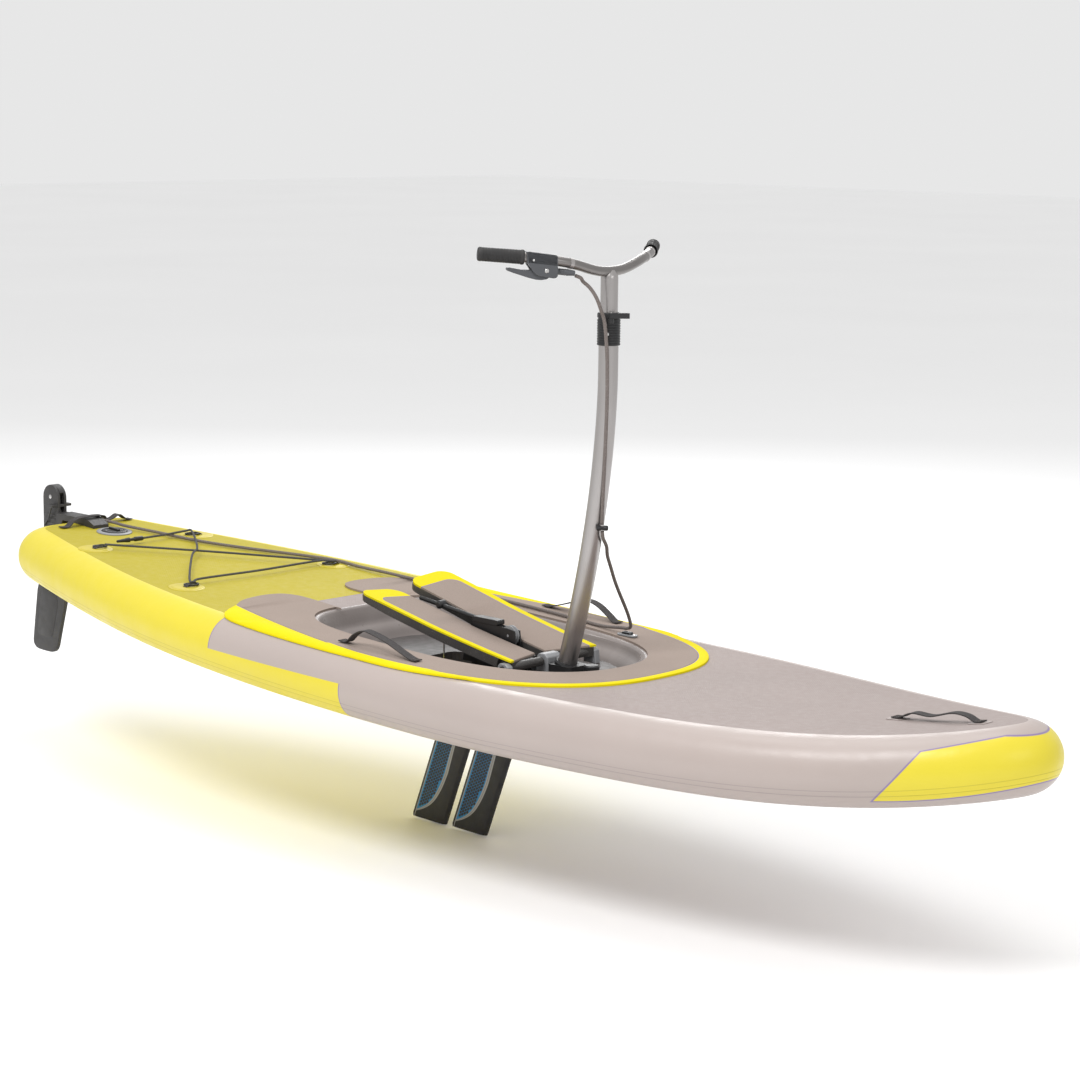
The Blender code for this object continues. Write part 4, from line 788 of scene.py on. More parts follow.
def build_pads():
    def base(x, y):
        return top_skin(x, y) + CLEAR * 0.5

    lobe = smooth_path(mm([(-562, 288), (-590, 250), (-603, 215), (-610, 160), (-600, 115), (-570, 92),
        (-520, 85), (-385, 92)]), 6)
    well_points = [p for p in well_outline(0.006, 96) if p[1] >= -1e-9]
    well_points.sort(key=lambda p: math.atan2(p[1], p[0] - WELL_X), reverse=True)
    inner = [p for p in well_points if p[1] > 0.092 or p[0] > 0]
    side_edge = [(x, pad_edge(x)) for x in (-0.562 * i / 16 for i in range(1, 16))]
    fore = half_ellipse(PAD_FORE, PAD_HALF)
    port = [*reversed(side_edge), *fore[:len(fore) // 2 + 1]]
    port_inner = [*(tuple(p) for p in lobe), *inner]
    if port_inner[-1][1] > 1e-6:
        port_inner.append((max(p[0] for p in well_points), 0.0))
    outline = [*port, *[(x, -y) for x, y in reversed(port[:-1])], *[(x, -y) for x, y in port_inner],
        *[p for p in reversed(port_inner) if p[1] > 1e-6]]
    bm = bmesh.new()
    add_sheet(bm, outline, base, 0.045, (-0.362, 0.362))
    finish_piece(fixed(bm), "deck_pad", "traction_pad", "pad", sharp=50)

    # The border is a ribbon between the pad's edge and its own outline, with a thin violet inlay inside.
    outer_aft = mm([(0, 402), (-100, 404), (-200, 403.5), (-300, 401), (-400, 395.5), (-470, 388),
        (-505, 374), (-537, 335)])
    count = 44
    inner_line, outer_line = [], []
    aft_outer = smooth_path(outer_aft, 12)
    spans = len(aft_outer) - 1
    for i in range(count, 0, -1):
        x = -0.562 * i / count
        inner_line.append((x, pad_edge(x) + 0.0006))
        place = i / count * spans
        k = min(int(place), spans - 1)
        a, b = aft_outer[k], aft_outer[k + 1]
        outer_line.append((a[0] + (b[0] - a[0]) * (place - k), a[1] + (b[1] - a[1]) * (place - k)))
    inner_line += half_ellipse(PAD_FORE + 0.0006, PAD_HALF + 0.0006)[:33]
    outer_line += half_ellipse(BORDER_FORE, BORDER_HALF)[:33]
    inner_line += [(x, -y) for x, y in reversed(inner_line[:-1])]
    outer_line += [(x, -y) for x, y in reversed(outer_line[:-1])]
    bm = bmesh.new()
    rows = []
    for (ax, ay), (bx, by) in zip(inner_line, outer_line):
        width = math.hypot(bx - ax, by - ay)
        inlay = 0.0022 / width
        shares = [(0.0, -0.1), (0.0, 0.9), (0.02, 0.95), (inlay, 0.95), (inlay + 0.0004 / width, 1.0),
            (0.5, 1.0), (1 - 0.0012 / width, 1.0), (1 - 0.0003 / width, 0.85), (1.0, 0.6), (1.0, -0.1)]
        row = []
        for share, height in shares:
            x, y = ax + (bx - ax) * share, ay + (by - ay) * share
            row.append(bm.verts.new((x, y, base(x, y) + PAD_T * height)))
        rows.append(row)
    for a, b in zip(rows, rows[1:]):
        for k in range(len(a) - 1):
            bm.faces.new((a[k], a[k + 1], b[k + 1], b[k])).material_index = 1 if k in (1, 2) else 0
    for row in (rows[0], rows[-1]):
        bm.faces.new(row)
    bmesh.ops.recalc_face_normals(bm, faces=bm.faces)
    finish_piece(bm, "pad_border_ribbon", "pad_border", "border violet", sharp=50)


# ---- Deck gear ----
def strap_section(width, thickness):
    """A flat strap's outline, with slightly thicker selvedges."""
    w, t = width / 2, thickness / 2
    return [(-w, -t * 0.6), (-w * 0.94, -t), (-w * 0.84, -t * 0.8), (w * 0.84, -t * 0.8), (w * 0.94, -t),
        (w, -t * 0.6), (w, t * 0.6), (w * 0.94, t), (w * 0.84, t * 0.8), (-w * 0.84, t * 0.8),
        (-w * 0.94, t), (-w, t * 0.6)]


def add_stitches(bm, centre, along_x, rise):
    """A boxed cross of raised stitches on a strap's end."""
    count, half_y = 6, 0.0085
    corners = [(-1, -1), (1, -1), (1, 1), (-1, 1)]
    runs = [(corners[i], corners[(i + 1) % 4]) for i in range(4)] + [((-1, -1), (1, 1)), ((-1, 1), (1, -1))]
    for a, b in runs:
        for i in range(count):
            ends = []
            for t in ((i + 0.15) / count, (i + 0.8) / count):
                x = (a[0] + (b[0] - a[0]) * t) * along_x
                y = (a[1] + (b[1] - a[1]) * t) * half_y
                ends.append(Vector((centre[0] + x, centre[1] + y, rise(centre[0] + x))))
            add_sweep(bm, [ends[0], ends[0].lerp(ends[1], 0.5) + Vector((0, 0, 0.0004)), ends[1]],
                round_section(0.0004, 6), paint=1)


def add_strap(bm, path, rise):
    """A flat strap along points of (x, y, height), laid rise above the deck."""
    add_sweep(bm, smooth_path([on_deck(x, y, rise + h) for x, y, h in path], 8),
        strap_section(0.024, 0.003))


def build_handles():
    rises = {
        "right": (-0.335, mm(((-113, 0), (-88, 1), (-63, 22), (-33, 37), (-3, 37),
                           (52, 26), (102, 10), (137, 0), (154, 0)))),
        "left": (0.352, mm(((-100, 0), (-75, 0.5), (-30, 14), (20, 31), (55, 38),
                         (90, 31), (125, 12), (145, 0), (160, 0)))),
    }
    for name, (y, path) in rises.items():
        bm = bmesh.new()
        add_strap(bm, [(x, y, h) for x, h in path], 0.0096)
        for x in (path[0][0] + 0.012, path[-1][0] - 0.009):
            add_stitches(bm, (x, y), 0.008, lambda at: deck(at) + 0.0109)
        finish_piece(fixed(bm), "side_strap_" + name, "side_handle_" + name,
            "webbing strap_edge")
    path = mm(((1272, 0), (1290, 0), (1325, 12), (1372, 8), (1425, 17), (1460, 12), (1484, 0), (1500, 0)))
    bm = bmesh.new()
    add_strap(bm, [(x, 0.0, h) for x, h in path], 0.0042)
    for x in (1.282, 1.491):
        add_stitches(bm, (x, 0.0), 0.007, lambda at: deck(at) + 0.0056)
        add_prism(bm, rounded((x - 0.021, x + 0.021), (-0.0205, 0.0205), 0.008), 0, 0.001, paint=2,
            drape=lambda at: deck(at) + 0.0004)
    finish_piece(fixed(bm), "bow_strap", "bow_handle", "webbing strap_edge grey_patch")
    path = mm(((-102, 0), (-80, 0), (-60, 15), (-36, 20.5), (36, 20.5), (52, 7), (72, 8), (95, 17),
        (115, 5), (128, 0), (140, 0)))
    bm = bmesh.new()
    add_strap(bm, [(-1.555, y, h) for y, h in path], 0.0038)
    finish_piece(fixed(bm), "stern_strap", "stern_handle", "webbing")


def build_rings():
    wire, radius, count = 0.0026, 0.0165, 48
    for (x, y), end in ((PATCH_AFT, "aft"), (PATCH_FORE, "fore")):
        normal = deck_normal(x)
        for side, name in ((-1, "right"), (1, "left")):
            at_y = side * (y - RING_IN)
            centre = Vector(on_deck(x, at_y, 0.0064))
            path = [centre + Vector((radius * max(math.cos(turn), -0.72), radius * 1.15 * math.sin(turn),
                0)) for turn in (math.pi * 2 * i / count for i in range(count))]
            rings = []
            for i, point in enumerate(path):
                across = normal.cross((path[(i + 1) % count] - path[i - 1]).normalized()).normalized()
                rings.append(circle(point, across, normal, wire, 12))
            bm = bmesh.new()
            add_rings(bm, rings, loop=True)
            tab = [on_deck(x, at_y + dy * side, 0.0034 + h) for dy, h in mm(((26, 0), (18, 4), (10, 6.5)))]
            add_sweep(bm, smooth_path([(a + 0.006, b, c) for a, b, c in tab], 4),
                strap_section(0.014, 0.0016), paint=1)
            finish_piece(fixed(bm), f"ring_{end}_{name}", f"d_ring_{end}_{name}",
                "black webbing")


def cord_curve(name, points, radius, key, node, order=6):
    """A cord as one smooth run of its points: a curve with a round section."""
    curve = bpy.data.curves.new(name, "CURVE")
    curve.dimensions = "3D"
    curve.bevel_depth, curve.bevel_resolution, curve.use_fill_caps = radius, 6, True
    smooth = smooth_path(points, order)
    line = curve.splines.new("POLY")
    line.points.add(len(smooth) - 1)
    for spot, point in zip(line.points, smooth):
        spot.co = (point.x - ORIGIN_X, point.y, point.z, 1)
    curve.materials.append(PAINTS[key])
    obj = link_new(name, curve)
    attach(obj, "board")
    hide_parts(node)
    mark_cord(obj, smooth, radius)


def on_deck(x, y, h):
    return (x, y, deck(x) + h)


def build_bungee():
    low, high = 0.015, 0.0225
    (ax, ay), (fx, fy) = [(x, y - RING_IN) for x, y in (PATCH_AFT, PATCH_FORE)]
    route = [on_deck(ax + 0.022, -ay, low), on_deck(-1.06, 0.028, low),
        on_deck(fx - 0.004, fy - 0.016, low), on_deck(fx + 0.01, fy - 0.002, low),
        on_deck(fx - 0.008, fy - 0.04, low), on_deck(fx - 0.002, 0.0, low),
        on_deck(fx - 0.008, 0.04 - fy, low), on_deck(fx + 0.01, 0.002 - fy, low),
        on_deck(fx - 0.02, 0.01 - fy, low), on_deck(-1.02, -0.062, high), on_deck(-1.09, 0.012, high),
        on_deck(ax + 0.006, ay - 0.006, low), on_deck(ax - 0.004, ay - 0.022, low),
        on_deck(ax + 0.006, 0.06, low), on_deck(ax + 0.01, -0.02, low)]
    cord_curve("bungee", route, 0.003, "cord", "bungee_cord")
    bm = bmesh.new()
    add_turned(bm, mm(((0, 4), (1, 5.8), (3, 6.5), (27, 6.5), (29, 6), (30.5, 4.5), (44, 4), (45.5, 6.2),
        (47, 7), (58, 6), (62, 5.2), (87, 3.6), (88, 2.8))), on_deck(ax + 0.01, -0.0215, low),
        (-0.01, -1, 0), 32)
    finish_piece(fixed(bm), "cord_toggle", "cord_lock", "black")


def build_valve():
    face, normal = Vector((VALVE_X, 0, deck(VALVE_X))), deck_normal(VALVE_X)
    bm = bmesh.new()
    add_turned(bm, mm(((-21.2, 39.5), (0.6, 39.5), (0.6, 50), (2.2, 49.8), (3.3, 48.8), (4.2, 46.5),
        (4.5, 44), (4.5, 38), (4, 37.2), (-12, 36), (-12, 12), (-21.2, 12))), face, normal, 64, loop=True)
    finish_piece(fixed(bm), "valve_ring", "valve_body", "grey")
    bm = bmesh.new()
    add_turned(bm, mm(((-11, 34.5), (2.5, 35.2), (4, 35.5), (5.5, 34.5), (6.2, 33), (6.6, 28), (5, 26.5),
        (5, 21.5), (6.6, 20), (6.6, 0))), face, normal, 64, caps=False)
    side = normal.cross(Vector((0, 1, 0))).normalized()
    for k in range(2):
        for i in range(14):
            turn = k * math.pi + i / 13 * 2.2
            spot = face + normal * 0.0052 + (side * math.cos(turn)
                + Vector((0, 1, 0)) * math.sin(turn)) * 0.024
            add_turned(bm, ((0.0, 0.0016), (0.0012, 0.0012)), spot, normal, 8, paint=1)
    ends = [face + normal * 0.0075 + side * x for x in (-0.0215, -0.019, 0.019, 0.0215)]
    add_sweep(bm, ends, mm([(-3.5, -3), (3.5, -3), (3.5, 3), (2.5, 4.5), (-2.5, 4.5), (-3.5, 3)]), normal)
    finish_piece(fixed(bm), "valve_lid", "valve_cap", "black grey", "valve_cap")


# ---- Fins ----
FOIL = ((0.0, 0.003), (0.06, 0.0082), (0.16, 0.0096), (0.35, 0.0076), (0.7, 0.004), (1.0, 0.0012))


# (height above the tip, how far behind the leading edge the grey stripe starts)
STRIPE = mm(((0, 130), (10, 124), (16.5, 112), (28, 88), (47, 65), (71, 52), (125, 41), (150, 41)))
STRIPE_WIDTH = 0.0118


def fin_material(end):
    """A moulded fin: black fore part, a grey stripe that curves to the tip, and blue mesh behind it."""
    paint = Paint("fin_" + end, FIN_BLUE, 0.42)
    behind = paint.linear(x=-1.0, z=FIN_RAKE, add=FIN_X[end] - FIN_RAKE * FIN_AXIS_Z + 0.012 - ORIGIN_X)
    tall, back = 0.15, 0.13
    line = paint.curve(paint.math("MULTIPLY", paint.minus(paint.z, FIN_TIP), 1 / tall),
        [(up / tall, at / back) for up, at in STRIPE])
    gap = paint.scaled(line, -back, behind)
    black = paint.mottle((0.014, 0.013, 0.013), 60, 0.3)
    grey = paint.mix(paint.below(paint.size(paint.minus(gap, 0.0062)), 0.0007), (0.3, 0.295, 0.285),
        (0.13, 0.128, 0.125))
    colour = paint.mix(paint.below(gap, STRIPE_WIDTH), FIN_BLUE, grey)
    colour = paint.mix(paint.below(gap, 0.0), colour, black)
    colour = paint.mix(paint.below(behind, 0.115), grey, colour)
    paint.colour(paint.mix(paint.below(behind, 0.1178), black, colour))
    paint.put(paint.shader.inputs["Roughness"], paint.mix(paint.below(gap, 0.0), (0.45,) * 3, (0.62,) * 3))
    paint.bump(paint.noise(380, 3), 0.00025)
    return paint.material


def build_fin(end):
    PAINTS["fin_skin_" + end] = fin_material(end)
    root = FIN_X[end]

    def surface(u, z, side, lift=0.0):
        trail = FIN_CHORD * (1 - 0.03 * max(0.0, (FIN_TOP - z) / (FIN_TOP - FIN_TIP) - 0.97) / 0.03)
        share = min(1.0, max(0.0, u / FIN_CHORD))
        half = along(FOIL, share) + lift
        x = root - FIN_RAKE * (FIN_AXIS_Z - z) + 0.012 - min(u, FIN_CHORD) * trail / FIN_CHORD
        return (x, side * half, z)

    bm = bmesh.new()
    shares = [0.0, 0.02, 0.06, 0.11, 0.16, 0.25, 0.35, 0.5, 0.7, 0.85, 1.0]
    rings = []
    for i in range(31):
        share = i / 30
        z = FIN_TOP + (FIN_TIP - FIN_TOP) * share
        end_round = 1 - 0.3 * max(0.0, (share - 0.97) / 0.03) ** 2 - 0.2 * max(0.0,
            (0.03 - share) / 0.03) ** 2
        ring = [surface(s * FIN_CHORD, z, 1) for s in shares]
        ring += [surface(s * FIN_CHORD, z, -1) for s in reversed(shares)]
        rings.append([(x, y * end_round, h) for x, y, h in ring])
    add_rings(bm, rings)
    cell = 0.0052
    rise = cell * math.sqrt(3)
    for side in (-1, 1):
        for column in range(9):
            u = 0.06 + column * cell * 1.5
            if u > 0.11:
                continue
            rows = int((FIN_TOP - FIN_TIP - 0.014) / rise)
            for row in range(rows):
                z = FIN_TOP - 0.012 - rise * (row + 0.5 * (column % 2))
                if u < along(STRIPE, z - FIN_TIP) + STRIPE_WIDTH + cell * 0.7:
                    continue
                spots = [(u + cell * 0.92 * math.cos(k * math.pi / 3), z
                    + cell * 0.92 * math.sin(k * math.pi / 3)) for k in range(6)]
                low = [bm.verts.new(surface(a, b, side, -0.0003)) for a, b in spots]
                high = [bm.verts.new(surface(u + (a - u) * 0.86, z + (b - z) * 0.86, side, 0.0006)) for a,
                    b in spots]
                bm.faces.new(high if side < 0 else high[::-1]).material_index = 1
                for k in range(6):
                    m = (k + 1) % 6
                    face = (low[k], low[m], high[m], high[k])
                    bm.faces.new(face if side < 0 else face[::-1]).material_index = 1
    finish_piece(bm, "fin_blade_" + end, "fin_sail_" + end, f"fin_skin_{end} fin_black",
        "sail_" + end, sharp=28)


# ---- Rudder ----
def build_rudder():
    x0, x1 = -1.76, -1.686
    middle, half = (x0 + x1) / 2, (x1 - x0) / 2
    crown = [(middle + half * math.cos(t), 0.348 - half + half * math.sin(t))
        for t in (math.pi * i / 28 for i in range(29))]
    bm = bmesh.new()
    for side in (-1, 1):
        cheek = [*crown, (x0, 0.15), (x0 + 0.018, 0.098), (x1 - 0.012, 0.098), (x1, 0.125)]
        near, far = side * 0.0068, side * 0.015
        add_prism(bm, cheek, min(near, far), max(near, far), "Y", 0.003, 3)
        for k in range(6):
            z = 0.196 + k * 0.0125
            rib = rounded((x0 + 0.012, x1 - 0.016), (z, z + 0.006), 0.0029, 4)
            a, b = sorted((side * 0.0148, side * 0.0163))
            add_prism(bm, rib, a, b, "Y", 0.0008, 2)
        add_turned(bm, mm(((0, 6.2), (1.5, 6), (2.4, 4.5), (2.7, 0))), (middle, side * 0.0148, 0.3135),
            (0, side, 0), 24, paint=1, caps=False)
    core = [*crown[4:-4], (x0 + 0.004, 0.205), (x1 - 0.028, 0.205), (x1 - 0.028, 0.3)]
    add_prism(bm, core, -0.007, 0.007, "Y")
    finish_piece(bm, "rudder_cheeks", "rudder_housing", "dark steel", "rudder")
    top = [(-1.727 + 0.038 * math.cos(t), 0.135 + 0.038 * math.sin(t))
        for t in (math.pi * i / 20 for i in range(21))]
    blade = [*top, (-1.79, 0.085), (-1.8, 0.058), (-1.81, 0.03), (-1.824, -0.055), (-1.834, -0.12),
        (-1.8335, -0.129), (-1.829, -0.137), (-1.821, -0.143), (-1.81, -0.1465), (-1.785, -0.1478),
        (-1.758, -0.148), (-1.744, -0.1472), (-1.732, -0.144), (-1.722, -0.136), (-1.716, -0.125),
        (-1.696, -0.06), (-1.676, 0.0045), (-1.676, 0.03), (-1.68, 0.06)]
    bm = bmesh.new()
    add_prism(bm, blade, -0.006, 0.006, "Y", 0.003, 4)
    inset = [(-1.727 + (x + 1.752) * 0.62 - 0.032, -0.035 + (z + 0.035) * 0.62) for x, z in blade[21:]]
    for side in (-1, 1):
        a, b = sorted((side * 0.0055, side * 0.0066))
        add_prism(bm, inset, a, b, "Y", 0.0005, 2)
    finish_piece(bm, "blade_plate", "rudder_blade", "dark", "blade")


# ---- Pedals ----
PEDAL_TOP = mm(((-264, 264), (-163.5, 242.5), (-74.1, 222.6), (-3.7, 206.7), (82.9, 189.7), (168, 174),
    (235, 162.5), (276.4, 156)))


def pedal_pad_material():
    """Foam pedal tread: beige, with a yellow outer stripe and heel set off by a thin violet line."""
    paint = Paint("pedal_foam", PAD_BEIGE, 0.86, 0.0, 0.25)
    corner, heel, edge = 0.03, -0.209 - ORIGIN_X, 0.1285
    back = paint.over_zero(paint.minus(heel + corner, paint.x))
    out = paint.over_zero(paint.minus(paint.size(paint.y), edge - corner))
    reach = paint.math("ADD", paint.math("MULTIPLY", back, back), paint.math("MULTIPLY", out, out))
    gap = paint.minus(corner, paint.math("SQRT", reach))
    colour = paint.mix(paint.below(gap, 0.0), PAD_BEIGE, PAD_YELLOW)
    colour = paint.mix(paint.below(paint.size(gap), 0.0011, 0.0004), colour, VIOLET)
    fine = paint.noise(520, 3, 0.7)
    paint.colour(paint.mix(paint.spread(fine, 0.35, 0.65), paint.times(colour, (0.82,) * 3), colour))
    paint.bump(fine, 0.0004)
    return paint.material


def build_pedal_pads():
    PAINTS["pedal_pad"] = pedal_pad_material()
    hinge_x, hinge_z = HINGE
    for side, name in ((-1, "right"), (1, "left")):
        inner, outer = side * (PEDAL_Y[0] + 0.0015), side * (PEDAL_Y[1] - 0.0015)
        aft, radius = -0.264 - hinge_x + 0.0015, 0.034
        outline = [(0.225 - hinge_x - 0.0015, inner), (0.272 - hinge_x - 0.0015, outer)]
        for corner, toward in ((outer, -side), (inner, side)):
            arc = [(aft + radius * (1 - math.sin(t)), corner + toward * radius * (1 - math.cos(t)))
                for t in (math.pi / 2 * i / 12 for i in range(13))]
            outline += arc if corner == outer else arc[::-1]

        def height(at, y):
            share = (PEDAL_Y[1] - abs(y)) / (PEDAL_Y[1] - PEDAL_Y[0])
            return along(PEDAL_TOP, at + hinge_x) - 0.012 * share - PAD_T - hinge_z

        bm = bmesh.new()
        add_sheet(bm, outline, height, 0.03)
        tilt = side * math.radians(1.1)
        for vert in bm.verts:
            x, z = vert.co.x, vert.co.z
            vert.co.x = hinge_x + x * math.cos(tilt) + z * math.sin(tilt)
            vert.co.z = hinge_z - x * math.sin(tilt) + z * math.cos(tilt)
        finish_piece(fixed(bm), "pedal_tread_" + name, "pedal_pad_" + name, "pedal_pad",
            "pedal_" + name, sharp=50)


def build_drive_cables():
    """The cable from each pedal to the drive, with a swaged end at both."""
    for side, name in ((-1, "right"), (1, "left")):
        foot, reach = Vector((-0.02, side * 0.085, 0.0958)), 0.071
        profile = mm([(0, 5.2), (0.8, 6), (7, 6), (8, 4.8), (10, 2.4)])
        k = 0.011
        while k < reach - 0.013:
            profile += [(k, 0.0022), (k + 0.0008, 0.0019)]
            k += 0.0016
        profile += [(reach - 0.012, 0.0024), (reach - 0.01, 0.0046), (reach - 0.009, 0.005), (reach, 0.005)]
        bm = bmesh.new()
        add_turned(bm, profile, foot, UP, 24)
        bmesh.ops.recalc_face_normals(bm, faces=bm.faces)
        cable = mesh_object("pedal_cable_" + name, bm, "steel")
        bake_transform(cable)
        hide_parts("drive_cable_" + name)


# ---- Mast, stem and handlebar ----
def mast_x(z):
    bend, factor, power = MAST_BEND
    return MAST_X - factor * max(0.0, bend - z) ** power


def mast_side(z, right, near):
    c, s = math.cos(CLAMP_SIDE), math.sin(CLAMP_SIDE)
    return (mast_x(z) + c * right + s * near, s * right - c * near, z)


def bar_points(side, per_span=2):
    half = [(MAST_X - sweep_aft, out, BAR_Z + rise) for sweep_aft, out, rise in BAR_PATH]
    if side:
        return smooth_path([(x, side * y, z) for x, y, z in half], per_span)
    both = [(x, -y, z) for x, y, z in reversed(half[1:])] + half
    return smooth_path(both, per_span)


def bar_at(out, side):
    points = [Vector(p) for p in bar_points(side, 12)]
    for a, b in zip(points, points[1:]):
        if abs(b.y) >= out:
            share = (out - abs(a.y)) / (abs(b.y) - abs(a.y))
            return a.lerp(b, share), (b - a).normalized()
    return points[-1], (points[-1] - points[-2]).normalized()


def ring_path(path, radius, count=48):
    """Rings square to a path that bends in the plane of X and Z."""
    found, last, across = [], len(path) - 1, Vector((0, 1, 0))
    for i, point in enumerate(path):
        ahead = (path[min(i + 1, last)] - path[max(i - 1, 0)]).normalized()
        found.append(circle(point, across, ahead.cross(across), radius, count))
    return found


def build_mast():
    heights = [MAST_FOOT_Z + (MAST_TOP - MAST_FOOT_Z) * i / 40 for i in range(41)]
    bm = bmesh.new()
    path = [Vector((mast_x(z), 0, z)) for z in heights]
    add_rings(bm, [*ring_path(path, MAST_R), *reversed(ring_path(path, MAST_BORE))], loop=True)
    finish_piece(fixed(bm), "mast", "mast_tube", "aluminium")

    bm = bmesh.new()
    low, high = 0.903, 0.978
    profile = [(0.0, 0.0262), (0.001, 0.027)]
    for k in range(9):
        z = 0.004 + k * 0.006
        profile += [(z, 0.027), (z + 0.0008, 0.026), (z + 0.0022, 0.026), (z + 0.003, 0.027)]
    profile += [(high - low - 0.015, 0.0265), (high - low - 0.0145, 0.0248), (high - low - 0.012, 0.0248),
        (high - low - 0.0115, 0.027), (high - low - 0.003, 0.027), (high - low, 0.0255),
        (high - low, MAST_R + 0.0004), (0.0, MAST_R + 0.0004)]
    add_turned(bm, profile, (mast_x(low), 0, low), (0, 0, 1), 56, loop=True)
    near = Vector(mast_side(0.9, 0, 1)) - Vector(mast_side(0.9, 0, 0))
    add_turned(bm, mm(((0, 6), (0.5, 6.5), (10, 6.5), (10.5, 6))), mast_side(high - 0.0225, 0.004, 0.0315),
        (0, 0, 1), 28)
    add_turned(bm, ((0.0, 0.0045), (0.012, 0.0045)), mast_side(high - 0.0172, 0.004, 0.0245), near, 20)
    add_turned(bm, mm(((0, 4), (1.6, 3.8), (2.4, 0))), mast_side(0.93, -0.004, 0.026), near, 20, paint=1,
        caps=False)
    finish_piece(fixed(bm), "clamp_collar", "mast_clamp", "black steel")

    bm = bmesh.new()
    at = Vector(mast_side(high - 0.0116, 0.004, 0.0315))
    c, s = math.cos(CLAMP_SIDE), math.sin(CLAMP_SIDE)
    handle = mm([(-4, -2.1), (-4, 3), (-3, 5.5), (-1, 6.5), (6, 6.5), (20, 3.2), (42, 2), (43, -1),
        (42, -4), (26, -4), (10, -3)])
    outline = [(at.x + c * a + s * b, at.y + s * a - c * b) for a, b in handle]
    add_prism(bm, outline, at.z, at.z + 0.013, bevel=0.0011)
    add_turned(bm, mm(((0, 3), (1, 2.8), (1.5, 0))), at + Vector((0, 0, 0.0129)), (0, 0, 1), 20, paint=1,
        caps=False)
    finish_piece(fixed(bm), "quick_lever", "clamp_lever", "black steel", "clamp_lever")


def build_handlebar():
    bm = bmesh.new()
    path = [Vector((MAST_X, 0, STEM_LOW + (STEM_TOP - STEM_LOW) * i / 12)) for i in range(13)]
    # A shallow groove runs down the stem's aft side.
    outer = [[Vector((MAST_X + (p.x - MAST_X) * (0.94 if abs(p.y) < 0.0022 and p.x < MAST_X else 1), p.y,
        p.z)) for p in ring] for ring in ring_path(path, STEM_R)]
    add_rings(bm, [*outer, *reversed(ring_path(path, STEM_BORE))], loop=True)
    crown = [(0.0, STEM_R - 0.0004), (0.0, STEM_R), (0.003, 0.0201), (0.007, 0.0192), (0.011, 0.0172),
        (0.015, 0.0142), (0.019, 0.0118), (0.019, 0.0)]
    add_turned(bm, crown, (MAST_X, 0, 1.0565), (0, 0, 1), 48, caps=False)
    finish_piece(fixed(bm), "stem_tube", "stem", "aluminium", "stem")
    bm = bmesh.new()
    add_sweep(bm, bar_points(0, 8), round_section(BAR_R, 32))
    for side in (-1, 1):
        for out in (0.118,) if side < 0 else (0.15, 0.197):
            at, ahead = bar_at(out, side)
            add_turned(bm, mm(((-5, 11.7), (-4.5, 12.6), (4.5, 12.6), (5, 11.7))), at, ahead, 32, paint=1)
    finish_piece(fixed(bm), "bar", "handlebar", "bar aluminium", "stem")
    for side, name in ((-1, "right"), (1, "left")):
        start, end = bar_at(0.2135, side)[0], bar_at(0.2925, side)[0]
        run = (end - start).length + 0.006
        profile = mm([(0, 15), (0.8, 16.2), (4, 17.2), (6.5, 17)])
        k = 0.009
        while k < run - 0.012:
            body = 0.0164 - 0.0005 * k / run
            profile += [(k, body), (k + 0.0005, body - 0.0007), (k + 0.0016, body - 0.0007),
                (k + 0.0021, body)]
            k += 0.0034
        profile += [(run - 0.008, 0.016), (run - 0.005, 0.0161), (run - 0.002, 0.0152),
            (run - 0.0005, 0.0132), (run, 0.011), (run, 0.0)]
        bm = bmesh.new()
        add_turned(bm, profile, start, end - start, 40, caps=False)
        finish_piece(fixed(bm), "grip_sleeve_" + name, "grip_" + name, "rubber", "stem")
    build_lever()


